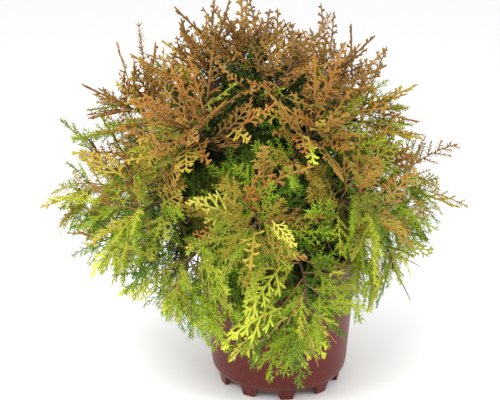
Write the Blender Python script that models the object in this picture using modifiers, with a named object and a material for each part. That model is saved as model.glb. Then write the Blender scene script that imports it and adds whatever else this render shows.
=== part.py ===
"""Eastern arborvitae, a dwarf globe form, in a round nursery pot.

The plant is an assembly: a turned pot with ten feet, the potting soil, a short trunk, three leaders,
boughs, and the masses of foliage at the boughs' ends. Lengths are in metres, +Z is up and the plant is
seen from -Y. The layout is worked out round the middle of the crown. At the end one empty moves the
whole plant, so that the origin is the middle of the bottom of its box.
"""

import math
from functools import partial
from random import Random

import bmesh
import bpy
from mathutils import Matrix, Vector
from mathutils.bvhtree import BVHTree

# Pot
POT_X = 0.043
POT_HEIGHT = 0.205
RIM_RADIUS = 0.1165
RIM_DROP = 0.012
LIP_ROUND = 0.0012
LIP_STEP = 0.0015
MOUTH_RADIUS = 0.1135
SHOULDER_Z = 0.032
SHOULDER_RADIUS = 0.1000
CORNER_IN = 0.0018
CORNER_DROP = 0.009
CORNER_TURN = 0.003
FOOT_RADIUS = 0.0895
FOOT_HEIGHT = 0.012
FLOOR_Z = 0.014
WALL = 0.0025
FEET = 10
FIRST_FOOT = math.radians(5.6)
FOOT_TOP_WIDTH = 0.026
FOOT_TIP_WIDTH = 0.017
ARCH_DEPTH = 0.030
ARCH_BELOW = 0.004
ARCH_INNER_SHARE = 0.72
DRAIN_HOLES = 5
DRAIN_RADIUS = 0.006
DRAIN_RING = 0.050
DRAIN_DEPTH = 0.020
DRAIN_SIDES = 12
POT_STEPS = 40

# Soil
SOIL_TOP = 0.186
SOIL_DIP = 0.003
SOIL_FLAT = 0.045

# Gap between solids that touch, and how far foliage keeps from limbs, pot and its neighbours
GAP = 0.0003
MERGE = 0.00001
SHARP = math.radians(62)
LIMB_CLEAR = 0.0008
POT_CLEAR = 0.004
CELL_CLEAR = 0.0006

# Crown: it is an egg round its middle, flatter below, and deeper in front where sprays hang over the pot
CROWN_Z = 0.245
CROWN_RADIUS = 0.301
CROWN_DEPTH_RADIUS = 0.290
CROWN_RISE = 0.311
CROWN_FALL = 0.140
CROWN_FRONT_FALL = 0.200
SEED = 11
GOLDEN_ANGLE = math.pi * (3 - math.sqrt(5))

# Trunk and leaders
FORK = Vector((0.012, 0.000, 0.300))
TRUNK_FLARE = 0.019
FLARE_HEIGHT = 0.010
TRUNK_BOW = Vector((0.006, -0.003, 0.0))
TRUNK_RADIUS = 0.0125
TRUNK_SHARES = (0.22, 0.48, 0.74, 1.00)
FORK_RADIUS = 0.0085
LEADER_RADIUS = 0.0058
LEADER_TIP_RADIUS = 0.0033
LEADER_OFFSET = 0.0068
LEADER_SINK = 0.008

# Boughs
BOUGH_RADIUS = 0.0034
BOUGH_TIP_RADIUS = 0.0022
LIMB_SHARES = (0.0, 0.34, 0.68, 0.94, 1.0)
LIMB_BEVEL = 1
TRUNK_BEVEL = 2

# Foliage
STEM_TIP_RADIUS = 0.0012
STEM_SHARES = (0.0, 0.06, 0.36, 0.68, 1.0)
STEM_ROOT_SHARE = 0.9
SITE_SHARE = 0.55
TWIGS = {"skirt": 9, "side": 7, "upper": 6, "top": 6}
TWIG_FROM = 0.03
TWIG_TO = 0.95
TWIG_SPREAD = math.radians(40)
TWIG_BACK = math.radians(45)
TWIG_LENGTH = 0.080
TWIG_SHORTENS = 0.45
TWIG_LIFT = 0.35
TWIG_RADIUS = 0.0016
TWIG_TIP_RADIUS = 0.0009
BLADE_LENGTH = 0.084
BLADE_THICKNESS = 0.0020
BLADE_ROOT = 0.10
SHRINKS = (1.15, 1.0, 0.85, 0.7, 0.55)
LAST_SHARES = (1.0, 0.8, 0.6, 0.4, 0.2)
BLADE_ROLL = 0.9

# How far the seeded rule may move a twig's turn and a blade's angle, and scale spreads and lengths
TURN_DRIFT = 0.3
ANGLE_DRIFT = 6.0
SPREAD_RANGE = (0.90, 1.10)
TWIG_RANGE = (0.85, 1.15)
BLADE_RANGE = (0.88, 1.08)

# A blade's outline from its root, round its lobes and its tip: (along, across) in blade lengths.
# A twig's blades: how far along it each stands, the angle it makes with it in degrees, and its size.
BLADE_OUTLINE = (
    (0.00, 0.00),
    (0.46, -0.30),
    (0.42, -0.09),
    (0.80, -0.28),
    (0.68, -0.06),
    (1.00, 0.00),
    (0.50, 0.08),
    (0.64, 0.34),
)
BLADE_PEAK = 0.34
BLADE_PLACES = ((0.34, 46.0, 0.90), (0.62, -42.0, 0.95), (0.95, 3.0, 1.0))

# Leaders: name, azimuth round the fork, tip, and slope at the tip. Azimuths turn from the front to +X.
LEADERS = (
    ("leader_left", -100.0, (-0.046, -0.018, 0.418), 72.0),
    ("leader_right", 62.0, (0.084, -0.012, 0.408), 58.0),
    ("leader_back", 178.0, (0.016, 0.066, 0.420), 66.0),
)
LEADER_BOW = 0.45

# Rings of masses round the crown. Each mass has one bough, that arrives at its entry along a slope.
RINGS = {
    "skirt": {
        "count": 8,
        "first": 13.0,
        "entry": 0.110,
        "entry_z": 0.240,
        "lean": 0.026,
        "slope": 4.0,
        "odd_slope": 6.0,
        "bow": 0.62,
        "lift": -0.7,
    },
    "side": {
        "count": 8,
        "first": 0.0,
        "entry": 0.098,
        "entry_z": 0.290,
        "lean": 0.010,
        "slope": 14.0,
        "odd_slope": 6.0,
        "bow": 0.35,
        "lift": 0.2,
    },
    "upper": {
        "count": 6,
        "first": 30.0,
        "entry": 0.086,
        "entry_z": 0.356,
        "lean": 0.006,
        "slope": 30.0,
        "odd_slope": 8.0,
        "bow": 0.35,
        "lift": 0.9,
    },
}
BOUGH_BOW = 0.45
BOUGH_SHARE = 0.72
SKIRT_FRONT = 13.0
SKIRT_REACH = 0.222
SKIRT_TIP_Z = 0.146
SKIRT_FRONT_DROP = 0.070
SKIRT_FRONT_TUCK = 0.020
SKIRT_FRONT_SHIFT = 0.017
SKIRT_START_Z = 0.216
SKIRT_START_STEP = 0.014
SIDE_REACH = 0.284
SIDE_TIP_Z = 0.258
SIDE_LIFT = 0.012
SIDE_START_Z = 0.254
SIDE_START_STEP = 0.016
UPPER_REACH = 0.232
UPPER_TIP_Z = 0.436
UPPER_START = 0.42
UPPER_START_STEP = 0.20

# Top of the crown: the tip of each leader's mass, then the boughs between the leaders
LEADER_MASSES = (
    ("leader_left", (-0.094, -0.030, 0.524)),
    ("leader_right", (0.168, -0.018, 0.505)),
    ("leader_back", (0.030, 0.150, 0.524)),
)
TOP_BOUGHS = (
    ("leader_left", 0.80, (0.018, -0.078, 0.420), 55.0, (0.040, -0.145, 0.508)),
    ("leader_back", 0.62, (-0.004, 0.014, 0.428), 80.0, (-0.012, 0.000, 0.556)),
)
TOP_BOW = 0.35
TOP_LIFT = 1.6


def clear_scene():
    """Empty the file: objects first, then the meshes and curves that nothing uses."""
    for obj in list(bpy.data.objects):
        bpy.data.objects.remove(obj, do_unlink=True)
    for mesh in list(bpy.data.meshes):
        bpy.data.meshes.remove(mesh)
    for child in list(bpy.context.scene.collection.children):
        bpy.context.scene.collection.children.unlink(child)


def new_collection(name):
    made = bpy.data.collections.new(name)
    bpy.context.scene.collection.children.link(made)
    return made


def new_material(name, colour, roughness):
    """A Principled BSDF of one colour. None of this plant's surfaces is a metal."""
    made = bpy.data.materials.new(name)
    made.use_nodes = True
    shader = made.node_tree.nodes["Principled BSDF"]
    shader.inputs["Base Color"].default_value = (*colour, 1.0)
    shader.inputs["Roughness"].default_value = roughness
    shader.inputs["Metallic"].default_value = 0.0
    made.diffuse_color = (*colour, 1.0)
    return made


def new_object(name, mesh, collection, finish=None):
    made = bpy.data.objects.new(name, mesh)
    collection.objects.link(made)
    if finish:
        mesh.materials.clear()
        mesh.materials.append(finish)
    return made


def mesh_of(bm, name):
    """The bmesh as a mesh, after which the bmesh is freed."""
    mesh = bpy.data.meshes.new(name)
    bm.to_mesh(mesh)
    bm.free()
    return mesh


def make_cutter(obj):
    obj.hide_render = True
    obj.display_type = "WIRE"
    return obj


def cut(obj, cutter, name):
    modifier = obj.modifiers.new(name, "BOOLEAN")
    modifier.operation = "DIFFERENCE"
    modifier.object = cutter
    return modifier


def settle(obj):
    """Apply the object's modifiers, all of them."""
    graph = bpy.context.evaluated_depsgraph_get()
    shaped = bpy.data.meshes.new_from_object(obj.evaluated_get(graph))
    obj.modifiers.clear()
    obj.data = shaped
    shaped.name = obj.name


def smooth(mesh):
    """Shade round, with the corners left sharp."""
    mesh.shade_smooth()
    mesh.set_sharp_from_angle(angle=SHARP)


def wall_radius(z):
    """Outer radius of the pot's straight wall at height z."""
    share = (z - SHOULDER_Z) / (POT_HEIGHT - SHOULDER_Z)
    return SHOULDER_RADIUS + (MOUTH_RADIUS - SHOULDER_RADIUS) * share


def pot_profile():
    """(radius, height) down the outside from the rim, under the feet and the floor, and up the inside."""
    lip_z = POT_HEIGHT - RIM_DROP
    shoulder_in = SHOULDER_RADIUS - WALL
    return (
        (MOUTH_RADIUS - WALL, POT_HEIGHT),
        (RIM_RADIUS - LIP_ROUND, POT_HEIGHT),
        (RIM_RADIUS, POT_HEIGHT - LIP_ROUND),
        (RIM_RADIUS, lip_z),
        (wall_radius(lip_z), lip_z - LIP_STEP),
        (SHOULDER_RADIUS, SHOULDER_Z),
        (SHOULDER_RADIUS - CORNER_IN, SHOULDER_Z - CORNER_DROP),
        (FOOT_RADIUS + CORNER_TURN, FOOT_HEIGHT + CORNER_TURN),
        (FOOT_RADIUS, 0.0),
        (FOOT_RADIUS - 2 * WALL, 0.0),
        (FOOT_RADIUS - WALL, FLOOR_Z - WALL),
        (0.0, FLOOR_Z - WALL),
        (0.0, FLOOR_Z),
        (FOOT_RADIUS, FLOOR_Z),
        (shoulder_in, SHOULDER_Z + WALL),
        (wall_radius(lip_z) - WALL, lip_z),
    )


def turned(name, profile, steps, collection, finish):
    """A profile at +X, turned round Z. One that starts off the axis is closed, for a hollow piece."""
    bm = bmesh.new()
    ring = [bm.verts.new((radius, 0.0, z)) for radius, z in profile]
    for first, second in zip(ring, ring[1:]):
        bm.edges.new((first, second))
    if profile[0][0] > 0:
        bm.edges.new((ring[-1], ring[0]))
    made = new_object(name, mesh_of(bm, name), collection)
    screw = made.modifiers.new("turn", "SCREW")
    screw.steps = steps
    screw.render_steps = steps
    screw.use_merge_vertices = True
    screw.merge_threshold = MERGE
    screw.use_normal_calculate = True
    settle(made)
    smooth(made.data)
    made.data.materials.append(finish)
    return made


def arch_cutter(index, collection):
    """The gap between two feet: a wedge, wider at the ground, that runs out through the foot ring."""
    pitch = 2 * math.pi / FEET
    ring = FOOT_RADIUS - WALL
    top = 2 * math.pi * ring / FEET - FOOT_TOP_WIDTH
    bottom = 2 * math.pi * ring / FEET - FOOT_TIP_WIDTH
    bm = bmesh.new()
    bmesh.ops.create_cube(bm, size=1.0)
    for vert in bm.verts:
        width = top if vert.co.z > 0 else bottom
        share = 1.0 if vert.co.y < 0 else ARCH_INNER_SHARE
        height = FOOT_HEIGHT if vert.co.z > 0 else -ARCH_BELOW
        vert.co = Vector((vert.co.x * width * share, -ring + vert.co.y * ARCH_DEPTH, height))
    turn = Matrix.Rotation(FIRST_FOOT + (index + 0.5) * pitch, 4, "Z")
    bmesh.ops.transform(bm, matrix=turn, verts=bm.verts)
    name = f"arch_{index + 1}"
    return make_cutter(new_object(name, mesh_of(bm, name), collection))


def drain_cutter(index, collection):
    """A round hole in the floor."""
    angle = 2 * math.pi * index / DRAIN_HOLES
    bm = bmesh.new()
    bmesh.ops.create_cone(
        bm,
        cap_ends=True,
        segments=DRAIN_SIDES,
        radius1=DRAIN_RADIUS,
        radius2=DRAIN_RADIUS,
        depth=DRAIN_DEPTH,
    )
    place = Vector((DRAIN_RING * math.sin(angle), DRAIN_RING * math.cos(angle), FLOOR_Z))
    bmesh.ops.translate(bm, verts=bm.verts, vec=place)
    name = f"drain_{index + 1}"
    return make_cutter(new_object(name, mesh_of(bm, name), collection))


def make_pot(plant, cutters, finish):
    pot = turned("pot", pot_profile(), POT_STEPS, plant, finish)
    arches = [arch_cutter(index, cutters) for index in range(FEET)]
    drains = [drain_cutter(index, cutters) for index in range(DRAIN_HOLES)]
    for cutter in arches + drains:
        cutter.location.x = POT_X
        cut(pot, cutter, cutter.name)
    pot.location.x = POT_X
    return pot


def make_soil(plant, finish):
    """Soil filling the pot, a little lower at the wall than at the trunk."""
    clear = WALL + 2 * GAP
    profile = (
        (0.0, SOIL_TOP),
        (SOIL_FLAT, SOIL_TOP),
        (wall_radius(SOIL_TOP) - clear, SOIL_TOP - SOIL_DIP),
        (SHOULDER_RADIUS - clear, SHOULDER_Z + WALL + GAP),
        (FOOT_RADIUS - 2 * GAP, FLOOR_Z + GAP),
        (0.0, FLOOR_Z + GAP),
    )
    soil = turned("potting_soil", profile, POT_STEPS, plant, finish)
    soil.location.x = POT_X
    return soil


def bezier(start, bend, end, share):
    """Point at this share of the way along the arc from start to end that heads for bend."""
    rest = 1.0 - share
    return start * rest * rest + bend * 2 * rest * share + end * share * share


class Limb:
    """A tapering limb on an arc: start, bend and end, with a radius at each end."""

    def __init__(self, name, start, bend, end, radius, tip_radius):
        self.name = name
        self.start = start
        self.bend = bend
        self.end = end
        self.radius = radius
        self.tip_radius = tip_radius

    def at(self, share):
        return bezier(self.start, self.bend, self.end, share)

    def heading(self, share):
        near = self.at(min(share + 0.01, 1.0)) - self.at(max(share - 0.01, 0.0))
        return near.normalized()

    def radius_at(self, share):
        return self.radius + (self.tip_radius - self.radius) * share

    def stations(self, shares):
        return [(self.at(share), self.radius_at(share)) for share in shares]


def tube_mesh(name, stations, bevel, extra=0.0):
    """A round tube through (point, radius) stations: a curve with a bevel, made a closed mesh."""
    curve = bpy.data.curves.new(name, "CURVE")
    curve.dimensions = "3D"
    curve.bevel_depth = 1.0
    curve.bevel_resolution = bevel
    curve.use_fill_caps = True
    spline = curve.splines.new("POLY")
    spline.points.add(len(stations) - 1)
    for point, (place, radius) in zip(spline.points, stations):
        point.co = (*place, 1.0)
        point.radius = radius + extra
    holder = bpy.data.objects.new(name, curve)
    bpy.context.scene.collection.objects.link(holder)
    graph = bpy.context.evaluated_depsgraph_get()
    mesh = bpy.data.meshes.new_from_object(holder.evaluated_get(graph))
    mesh.name = name
    bm = bmesh.new()
    bm.from_mesh(mesh)
    bmesh.ops.remove_doubles(bm, verts=bm.verts, dist=MERGE)
    bmesh.ops.recalc_face_normals(bm, faces=bm.faces)
    bm.to_mesh(mesh)
    bm.free()
    smooth(mesh)
    bpy.data.objects.remove(holder)
    bpy.data.curves.remove(curve)
    return mesh


def trunk_stations():
    """The trunk from its flat cut on the soil, through the root flare, to the fork."""
    foot = Vector((POT_X, 0.0, SOIL_TOP + GAP))
    rise = FORK - foot
    stations = [(foot, TRUNK_FLARE), (foot + Vector((0, 0, FLARE_HEIGHT)), TRUNK_RADIUS)]
    for share in TRUNK_SHARES:
        bow = TRUNK_BOW * math.sin(math.pi * share)
        radius = TRUNK_RADIUS + (FORK_RADIUS - TRUNK_RADIUS) * share
        stations.append((foot + rise * share + bow, radius))
    return stations


def trunk_at(z):
    """The trunk's axis at height z, between its stations."""
    stations = trunk_stations()
    for (low, _), (high, _) in zip(stations, stations[1:]):
        if z <= high.z:
            return low.lerp(high, (z - low.z) / (high.z - low.z))
    return stations[-1][0]


def outward(azimuth):
    """Level direction at this many degrees from the front, turning towards +X."""
    turn = math.radians(azimuth)
    return Vector((math.sin(turn), -math.cos(turn), 0.0))


def leader_limbs():
    """Upright stems from the fork, spread round it."""
    made = []
    for name, azimuth, tip, slope in LEADERS:
        side = outward(azimuth)
        start = FORK + side * LEADER_OFFSET - Vector((0, 0, LEADER_SINK))
        tip = Vector(tip)
        bend = tip - sloped(side, slope) * (tip - start).length * LEADER_BOW
        made.append(Limb(name, start, bend, tip, LEADER_RADIUS, LEADER_TIP_RADIUS))
    return made


class Mass:
    """A mass of foliage: its stem's arc, and the site that its space is nearest to."""

    def __init__(self, stem, lift):
        self.name = stem.name
        self.stem = stem
        self.site = stem.at(SITE_SHARE)
        self.lift = lift
        self.twigs = TWIGS[stem.name.split("_")[1]]


def stem_past(limb, tip, bow, name):
    """The stem of a mass: it goes on smoothly from the limb's end, a hair past it.

    Its last blade reaches on to the tip.
    """
    heading = limb.heading(1.0)
    entry = limb.end + heading * GAP
    bend = entry + heading * (tip - entry).length * bow
    last = (tip - bend).normalized() * BLADE_LENGTH * (1.0 - BLADE_ROOT)
    return Limb(name, entry, bend, tip - last, limb.tip_radius * STEM_ROOT_SHARE, STEM_TIP_RADIUS)


def bough_to(name, start, carrier_radius, entry, heading):
    """A bough, thinner than its carrier, that arrives at entry along heading."""
    bend = entry - heading.normalized() * (entry - start).length * BOUGH_BOW
    radius = min(BOUGH_RADIUS, carrier_radius * BOUGH_SHARE)
    return Limb(name, start, bend, entry, radius, BOUGH_TIP_RADIUS)


def along_side(side, out, z, lean=0.0):
    """A point this far out from the crown's middle, moved by lean along X."""
    return Vector((side.x * out + lean, side.y * out, z))


def sloped(side, degrees):
    """Direction that leaves side's level by this many degrees."""
    slope = math.radians(degrees)
    return side * math.cos(slope) + Vector((0, 0, math.sin(slope)))


def skirt_tip(side):
    """Where a skirt mass ends: lower and nearer to the pot in front of it."""
    front = max(0.0, side.dot(outward(SKIRT_FRONT))) ** 4
    out = SKIRT_REACH - SKIRT_FRONT_TUCK * front
    return along_side(side, out, SKIRT_TIP_Z - SKIRT_FRONT_DROP * front, SKIRT_FRONT_SHIFT * front)


def side_tip(side):
    """Where a side mass ends: the widest reach is to the left and the right."""
    widest = abs(side.x) ** 6
    reach = SIDE_REACH + (CROWN_RADIUS - SIDE_REACH) * widest
    return along_side(side, reach, SIDE_TIP_Z + SIDE_LIFT * (1 - widest))


def upper_tip(side):
    return along_side(side, UPPER_REACH, UPPER_TIP_Z)


def ring_layout(kind, carriers):
    """The boughs and masses of one ring round the crown, at even steps of azimuth."""
    ring = RINGS[kind]
    tip_of = {"skirt": skirt_tip, "side": side_tip, "upper": upper_tip}[kind]
    boughs, masses = [], []
    for index in range(ring["count"]):
        side = outward(ring["first"] + 360.0 / ring["count"] * index)
        odd = index % 2
        carrier, start, carrier_radius = carriers(side, odd)
        entry = along_side(side, ring["entry"], ring["entry_z"], ring["lean"])
        heading = sloped(side, ring["slope"] + ring["odd_slope"] * odd)
        bough = bough_to(f"bough_{kind}_{index + 1}", start, carrier_radius, entry, heading)
        stem = stem_past(bough, tip_of(side), ring["bow"], f"foliage_{kind}_{index + 1}")
        boughs.append((bough, carrier))
        masses.append(Mass(stem, ring["lift"]))
    return boughs, masses


def top_layout(leaders):
    """One mass on the end of each leader, and one on each bough between them."""
    by_name = {leader.name: leader for leader in leaders}
    boughs, masses = [], []
    for number, (leader_name, tip) in enumerate(LEADER_MASSES, start=1):
        stem = stem_past(by_name[leader_name], Vector(tip), TOP_BOW, f"foliage_top_{number}")
        masses.append(Mass(stem, TOP_LIFT))
    for number, (leader_name, share, entry, slope, tip) in enumerate(TOP_BOUGHS, start=1):
        leader = by_name[leader_name]
        entry = Vector(entry)
        start = leader.at(share)
        side = Vector((entry.x - start.x, entry.y - start.y, 0.0)).normalized()
        heading = sloped(side, slope)
        bough = bough_to(f"bough_top_{number}", start, leader.radius_at(share), entry, heading)
        boughs.append((bough, leader_name))
        name = f"foliage_top_{len(LEADER_MASSES) + number}"
        masses.append(Mass(stem_past(bough, Vector(tip), TOP_BOW, name), TOP_LIFT))
    return boughs, masses


def crown_layout(leaders):
    """Every bough with its carrier's name, and every mass."""

    def low_on_trunk(side, odd):
        return "trunk", trunk_at(SKIRT_START_Z + SKIRT_START_STEP * odd), TRUNK_RADIUS

    def high_on_trunk(side, odd):
        return "trunk", trunk_at(SIDE_START_Z + SIDE_START_STEP * odd), TRUNK_RADIUS

    def on_leader(side, odd):
        leader = max(leaders, key=lambda limb: limb.end.dot(side))
        share = UPPER_START + UPPER_START_STEP * odd
        return leader.name, leader.at(share), leader.radius_at(share)

    parts = [
        ring_layout("skirt", low_on_trunk),
        ring_layout("side", high_on_trunk),
        ring_layout("upper", on_leader),
        top_layout(leaders),
    ]
    boughs = [bough for found, _ in parts for bough in found]
    masses = [mass for _, found in parts for mass in found]
    return boughs, masses


def tree_of(tubes, extra=0.0, cone=None):
    """A search tree of tubes given by their stations, each a little fatter, and of one more mesh."""
    bm = bmesh.new()
    for stations in tubes:
        mesh = tube_mesh("helper", stations, LIMB_BEVEL, extra)
        bm.from_mesh(mesh)
        bpy.data.meshes.remove(mesh)
    if cone:
        bmesh.ops.create_cone(bm, cap_ends=True, segments=POT_STEPS, **cone)
    tree = BVHTree.FromBMesh(bm)
    bm.free()
    return tree


def keep_out_tree(tubes):
    """The limbs and the pot, each a little fatter than they are."""
    top = POT_HEIGHT + POT_CLEAR
    pot = {
        "radius1": FOOT_RADIUS + POT_CLEAR,
        "radius2": RIM_RADIUS + POT_CLEAR,
        "depth": top,
        "matrix": Matrix.Translation((POT_X, 0.0, top / 2)),
    }
    return tree_of(tubes, LIMB_CLEAR, pot)


def in_crown(point):
    """True inside the egg of the crown, whose lower half reaches further down in front."""
    level = math.hypot(point.x / CROWN_RADIUS, point.y / CROWN_DEPTH_RADIUS)
    height = point.z - CROWN_Z
    front = max(0.0, -point.y) / (math.hypot(point.x - POT_X, point.y) + GAP)
    fall = CROWN_FALL + (CROWN_FRONT_FALL - CROWN_FALL) * front**2
    return math.hypot(level, height / (CROWN_RISE if height > 0 else fall)) <= 1.0


class Space:
    """What one mass may fill: the part of the crown nearest to its site.

    It is clear of the limbs, of the pot and of the other masses' stems.
    """

    def __init__(self, mass, masses, keep_out):
        others = [other for other in masses if other is not mass]
        stems = [other.stem.stations(STEM_SHARES) for other in others]
        self.site = mass.site
        self.others = [other.site for other in others]
        self.keep_out = [keep_out, tree_of(stems, LIMB_CLEAR)]

    def nearest(self, point):
        """True where the point is nearer to this site than to any other, with a margin."""
        for other in self.others:
            between = other - self.site
            limit = between.length / 2 - CELL_CLEAR
            if (point - self.site).dot(between.normalized()) > limit:
                return False
        return True

    def holds(self, bm, placed, at_edge=False):
        """True for a piece that stays in this space and touches none of the placed pieces.

        A piece at the edge of the crown may reach past the egg.
        """
        for vert in bm.verts:
            if not (at_edge or in_crown(vert.co)) or not self.nearest(vert.co):
                return False
        tree = BVHTree.FromBMesh(bm)
        return not any(tree.overlap(other) for other in self.keep_out + placed)

    def largest(self, make, lengths, placed, at_edge=False):
        """The piece at the first of these lengths that this space holds, with that length."""
        for length in lengths:
            piece = make(length)
            if self.holds(piece, placed, at_edge):
                return piece, length
            piece.free()
        return None, 0.0


def frame_along(direction, across):
    """Rotation whose X runs along direction, with Y as near to across as it can be."""
    along = direction.normalized()
    normal = along.cross(across).normalized()
    side = normal.cross(along)
    return Matrix((along, side, normal)).transposed().to_4x4()


def turned_about(vector, angle, axis):
    return Matrix.Rotation(angle, 3, axis) @ vector


def level_across(heading):
    """A level direction square to this heading, or +X for one that points straight up."""
    across = heading.cross(Vector((0, 0, 1)))
    return across.normalized() if across.length > 0.2 else Vector((1, 0, 0))


def twig_bmesh(start, direction, length):
    """A three-sided tapering twig."""
    bm = bmesh.new()
    bmesh.ops.create_cone(
        bm, cap_ends=True, segments=3, radius1=TWIG_RADIUS, radius2=TWIG_TIP_RADIUS, depth=length
    )
    turn = direction.to_track_quat("Z", "Y").to_matrix().to_4x4()
    place = Matrix.Translation(start + direction * length / 2) @ turn
    bmesh.ops.transform(bm, matrix=place, verts=bm.verts)
    return bm


def blade_bmesh(start, direction, across, mirror, length):
    """A flat spray, rooted at start: a two-row sphere pressed flat, its rim drawn out to two lobes."""
    bm = bmesh.new()
    bmesh.ops.create_uvsphere(bm, u_segments=len(BLADE_OUTLINE), v_segments=2, radius=1.0)
    rim = [vert for vert in bm.verts if abs(vert.co.z) < 0.5]
    rim.sort(key=lambda vert: math.atan2(vert.co.y, vert.co.x) % math.tau)
    poles = [vert for vert in bm.verts if abs(vert.co.z) > 0.5]
    for vert in poles:
        half = BLADE_THICKNESS / length / 2
        vert.co = Vector((BLADE_PEAK, 0.0, math.copysign(half, vert.co.z)))
    for vert, (along, side) in zip(rim, BLADE_OUTLINE):
        vert.co = Vector((along, side * mirror, 0.0))
    root = Matrix.Translation(start - direction * length * BLADE_ROOT)
    place = root @ frame_along(direction, across) @ Matrix.Scale(length, 4)
    bmesh.ops.transform(bm, matrix=place, verts=bm.verts)
    bmesh.ops.recalc_face_normals(bm, faces=bm.faces)
    return bm


def twig_plan(mass, index, count, rule):
    """Start, direction and length of one twig: each turned on from the last by the golden angle."""
    share = TWIG_FROM + (TWIG_TO - TWIG_FROM) * index / (count - 1)
    heading = mass.stem.heading(share)
    turn = index * GOLDEN_ANGLE + rule.uniform(-TURN_DRIFT, TURN_DRIFT)
    side = turned_about(level_across(heading), turn, heading)
    spread = (TWIG_SPREAD + TWIG_BACK * (1.0 - share)) * rule.uniform(*SPREAD_RANGE)
    direction = heading * math.cos(spread) + side * math.sin(spread)
    direction = (direction + Vector((0, 0, mass.lift * TWIG_LIFT))).normalized()
    length = TWIG_LENGTH * (1.0 - TWIG_SHORTENS * share) * rule.uniform(*TWIG_RANGE)
    return mass.stem.at(share), direction, length


def blade_plans(start, direction, length, rule):
    """A maker and a length for each blade on a twig, which face outwards more or less.

    The last blade carries the twig on.
    """
    out = (start + direction * length - Vector((0, 0, CROWN_Z))).normalized()
    across = out.cross(direction).normalized()
    normal = direction.cross(across)
    plans = []
    for share, angle, size in BLADE_PLACES:
        turn = math.radians(angle + rule.uniform(-ANGLE_DRIFT, ANGLE_DRIFT))
        along = turned_about(direction, turn, normal)
        lean = turned_about(out.cross(along), rule.uniform(-BLADE_ROLL, BLADE_ROLL), along)
        mirror = math.copysign(1, angle)
        make = partial(blade_bmesh, start + direction * length * share, along, lean, mirror)
        plans.append((make, BLADE_LENGTH * size * rule.uniform(*BLADE_RANGE)))
    return plans


def grow_mass(mass, space, rule):
    """The pieces to fuse to a mass's stem: a blade that ends it, and twigs that carry blades."""
    heading = mass.stem.heading(1.0)
    last_blade = partial(blade_bmesh, mass.stem.end, heading, level_across(heading), 1)
    ending, _ = space.largest(last_blade, [BLADE_LENGTH * share for share in LAST_SHARES], [], True)
    pieces = [ending]
    stem = tree_of([mass.stem.stations(STEM_SHARES)])
    placed = [BVHTree.FromBMesh(ending)]
    for index in range(mass.twigs):
        start, direction, full = twig_plan(mass, index, mass.twigs, rule)
        lengths = [full * shrink for shrink in SHRINKS]
        twig, length = space.largest(partial(twig_bmesh, start, direction), lengths, placed)
        if not twig:
            continue
        others = [stem, *placed]
        pieces.append(twig)
        placed.append(BVHTree.FromBMesh(twig))
        for make, size in blade_plans(start, direction, length, rule):
            blade, _ = space.largest(make, [size * shrink for shrink in SHRINKS], others)
            if blade:
                pieces.append(blade)
                others.append(BVHTree.FromBMesh(blade))
                placed.append(others[-1])
    return pieces


def largest_body(mesh):
    """Keep the one body: loose scraps go, and so does the skin of a hollow that fusing sealed."""
    bm = bmesh.new()
    bm.from_mesh(mesh)
    bmesh.ops.triangulate(bm, faces=bm.faces)
    left = set(bm.faces)
    bodies = []
    while left:
        seed = left.pop()
        body, edge_of_search = {seed}, [seed]
        while edge_of_search:
            face = edge_of_search.pop()
            for edge in face.edges:
                for near in edge.link_faces:
                    if near in left:
                        left.remove(near)
                        body.add(near)
                        edge_of_search.append(near)
        bodies.append(body)
    keep = max(bodies, key=len)
    spare = [face for body in bodies if body is not keep for face in body]
    bmesh.ops.delete(bm, geom=spare, context="FACES")
    loose = [vert for vert in bm.verts if not vert.link_faces]
    bmesh.ops.delete(bm, geom=loose, context="VERTS")
    bm.to_mesh(mesh)
    bm.free()


def fuse(name, stem_mesh, pieces, plant, finish):
    """One Boolean union of the stem with a collection of its twigs and blades, applied."""
    helpers = new_collection(name + "_pieces")
    made = new_object(name, stem_mesh, plant, finish)
    for number, piece in enumerate(pieces):
        new_object(f"piece_{number}", mesh_of(piece, "piece"), helpers)
    union = made.modifiers.new("fuse", "BOOLEAN")
    union.operation = "UNION"
    union.operand_type = "COLLECTION"
    union.collection = helpers
    union.solver = "EXACT"
    settle(made)
    for helper in list(helpers.objects):
        bpy.data.objects.remove(helper)
    bpy.data.collections.remove(helpers)
    largest_body(made.data)
    made.data.materials.clear()
    made.data.materials.append(finish)


def make_limbs(trunk, leaders, boughs, plant, cutters, bark):
    """The trunk and its limbs, each limb cut back a hair from the one that carries it."""
    sockets = {"trunk": trunk}
    for limb in leaders:
        sockets[limb.name] = limb.stations(LIMB_SHARES)
    cutter_of = {}
    for name, stations in sockets.items():
        bevel = TRUNK_BEVEL if name == "trunk" else LIMB_BEVEL
        mesh = tube_mesh(name + "_socket", stations, bevel, GAP)
        cutter_of[name] = make_cutter(new_object(name + "_socket", mesh, cutters))
    new_object("trunk", tube_mesh("trunk", trunk, TRUNK_BEVEL), plant, bark)
    for limb, carrier in [(leader, "trunk") for leader in leaders] + boughs:
        mesh = tube_mesh(limb.name, limb.stations(LIMB_SHARES), LIMB_BEVEL)
        made = new_object(limb.name, mesh, plant, bark)
        cut(made, cutter_of[carrier], "seat")


def make_foliage(masses, limbs, plant, finishes):
    keep_out = keep_out_tree(limbs)
    for number, mass in enumerate(masses):
        space = Space(mass, masses, keep_out)
        pieces = grow_mass(mass, space, Random(SEED * 1000 + number))
        stem = tube_mesh(mass.name, mass.stem.stations(STEM_SHARES), 0)
        finish = finishes[mass.name.split("_")[1]]
        fuse(mass.name, stem, pieces, plant, finish)


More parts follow.
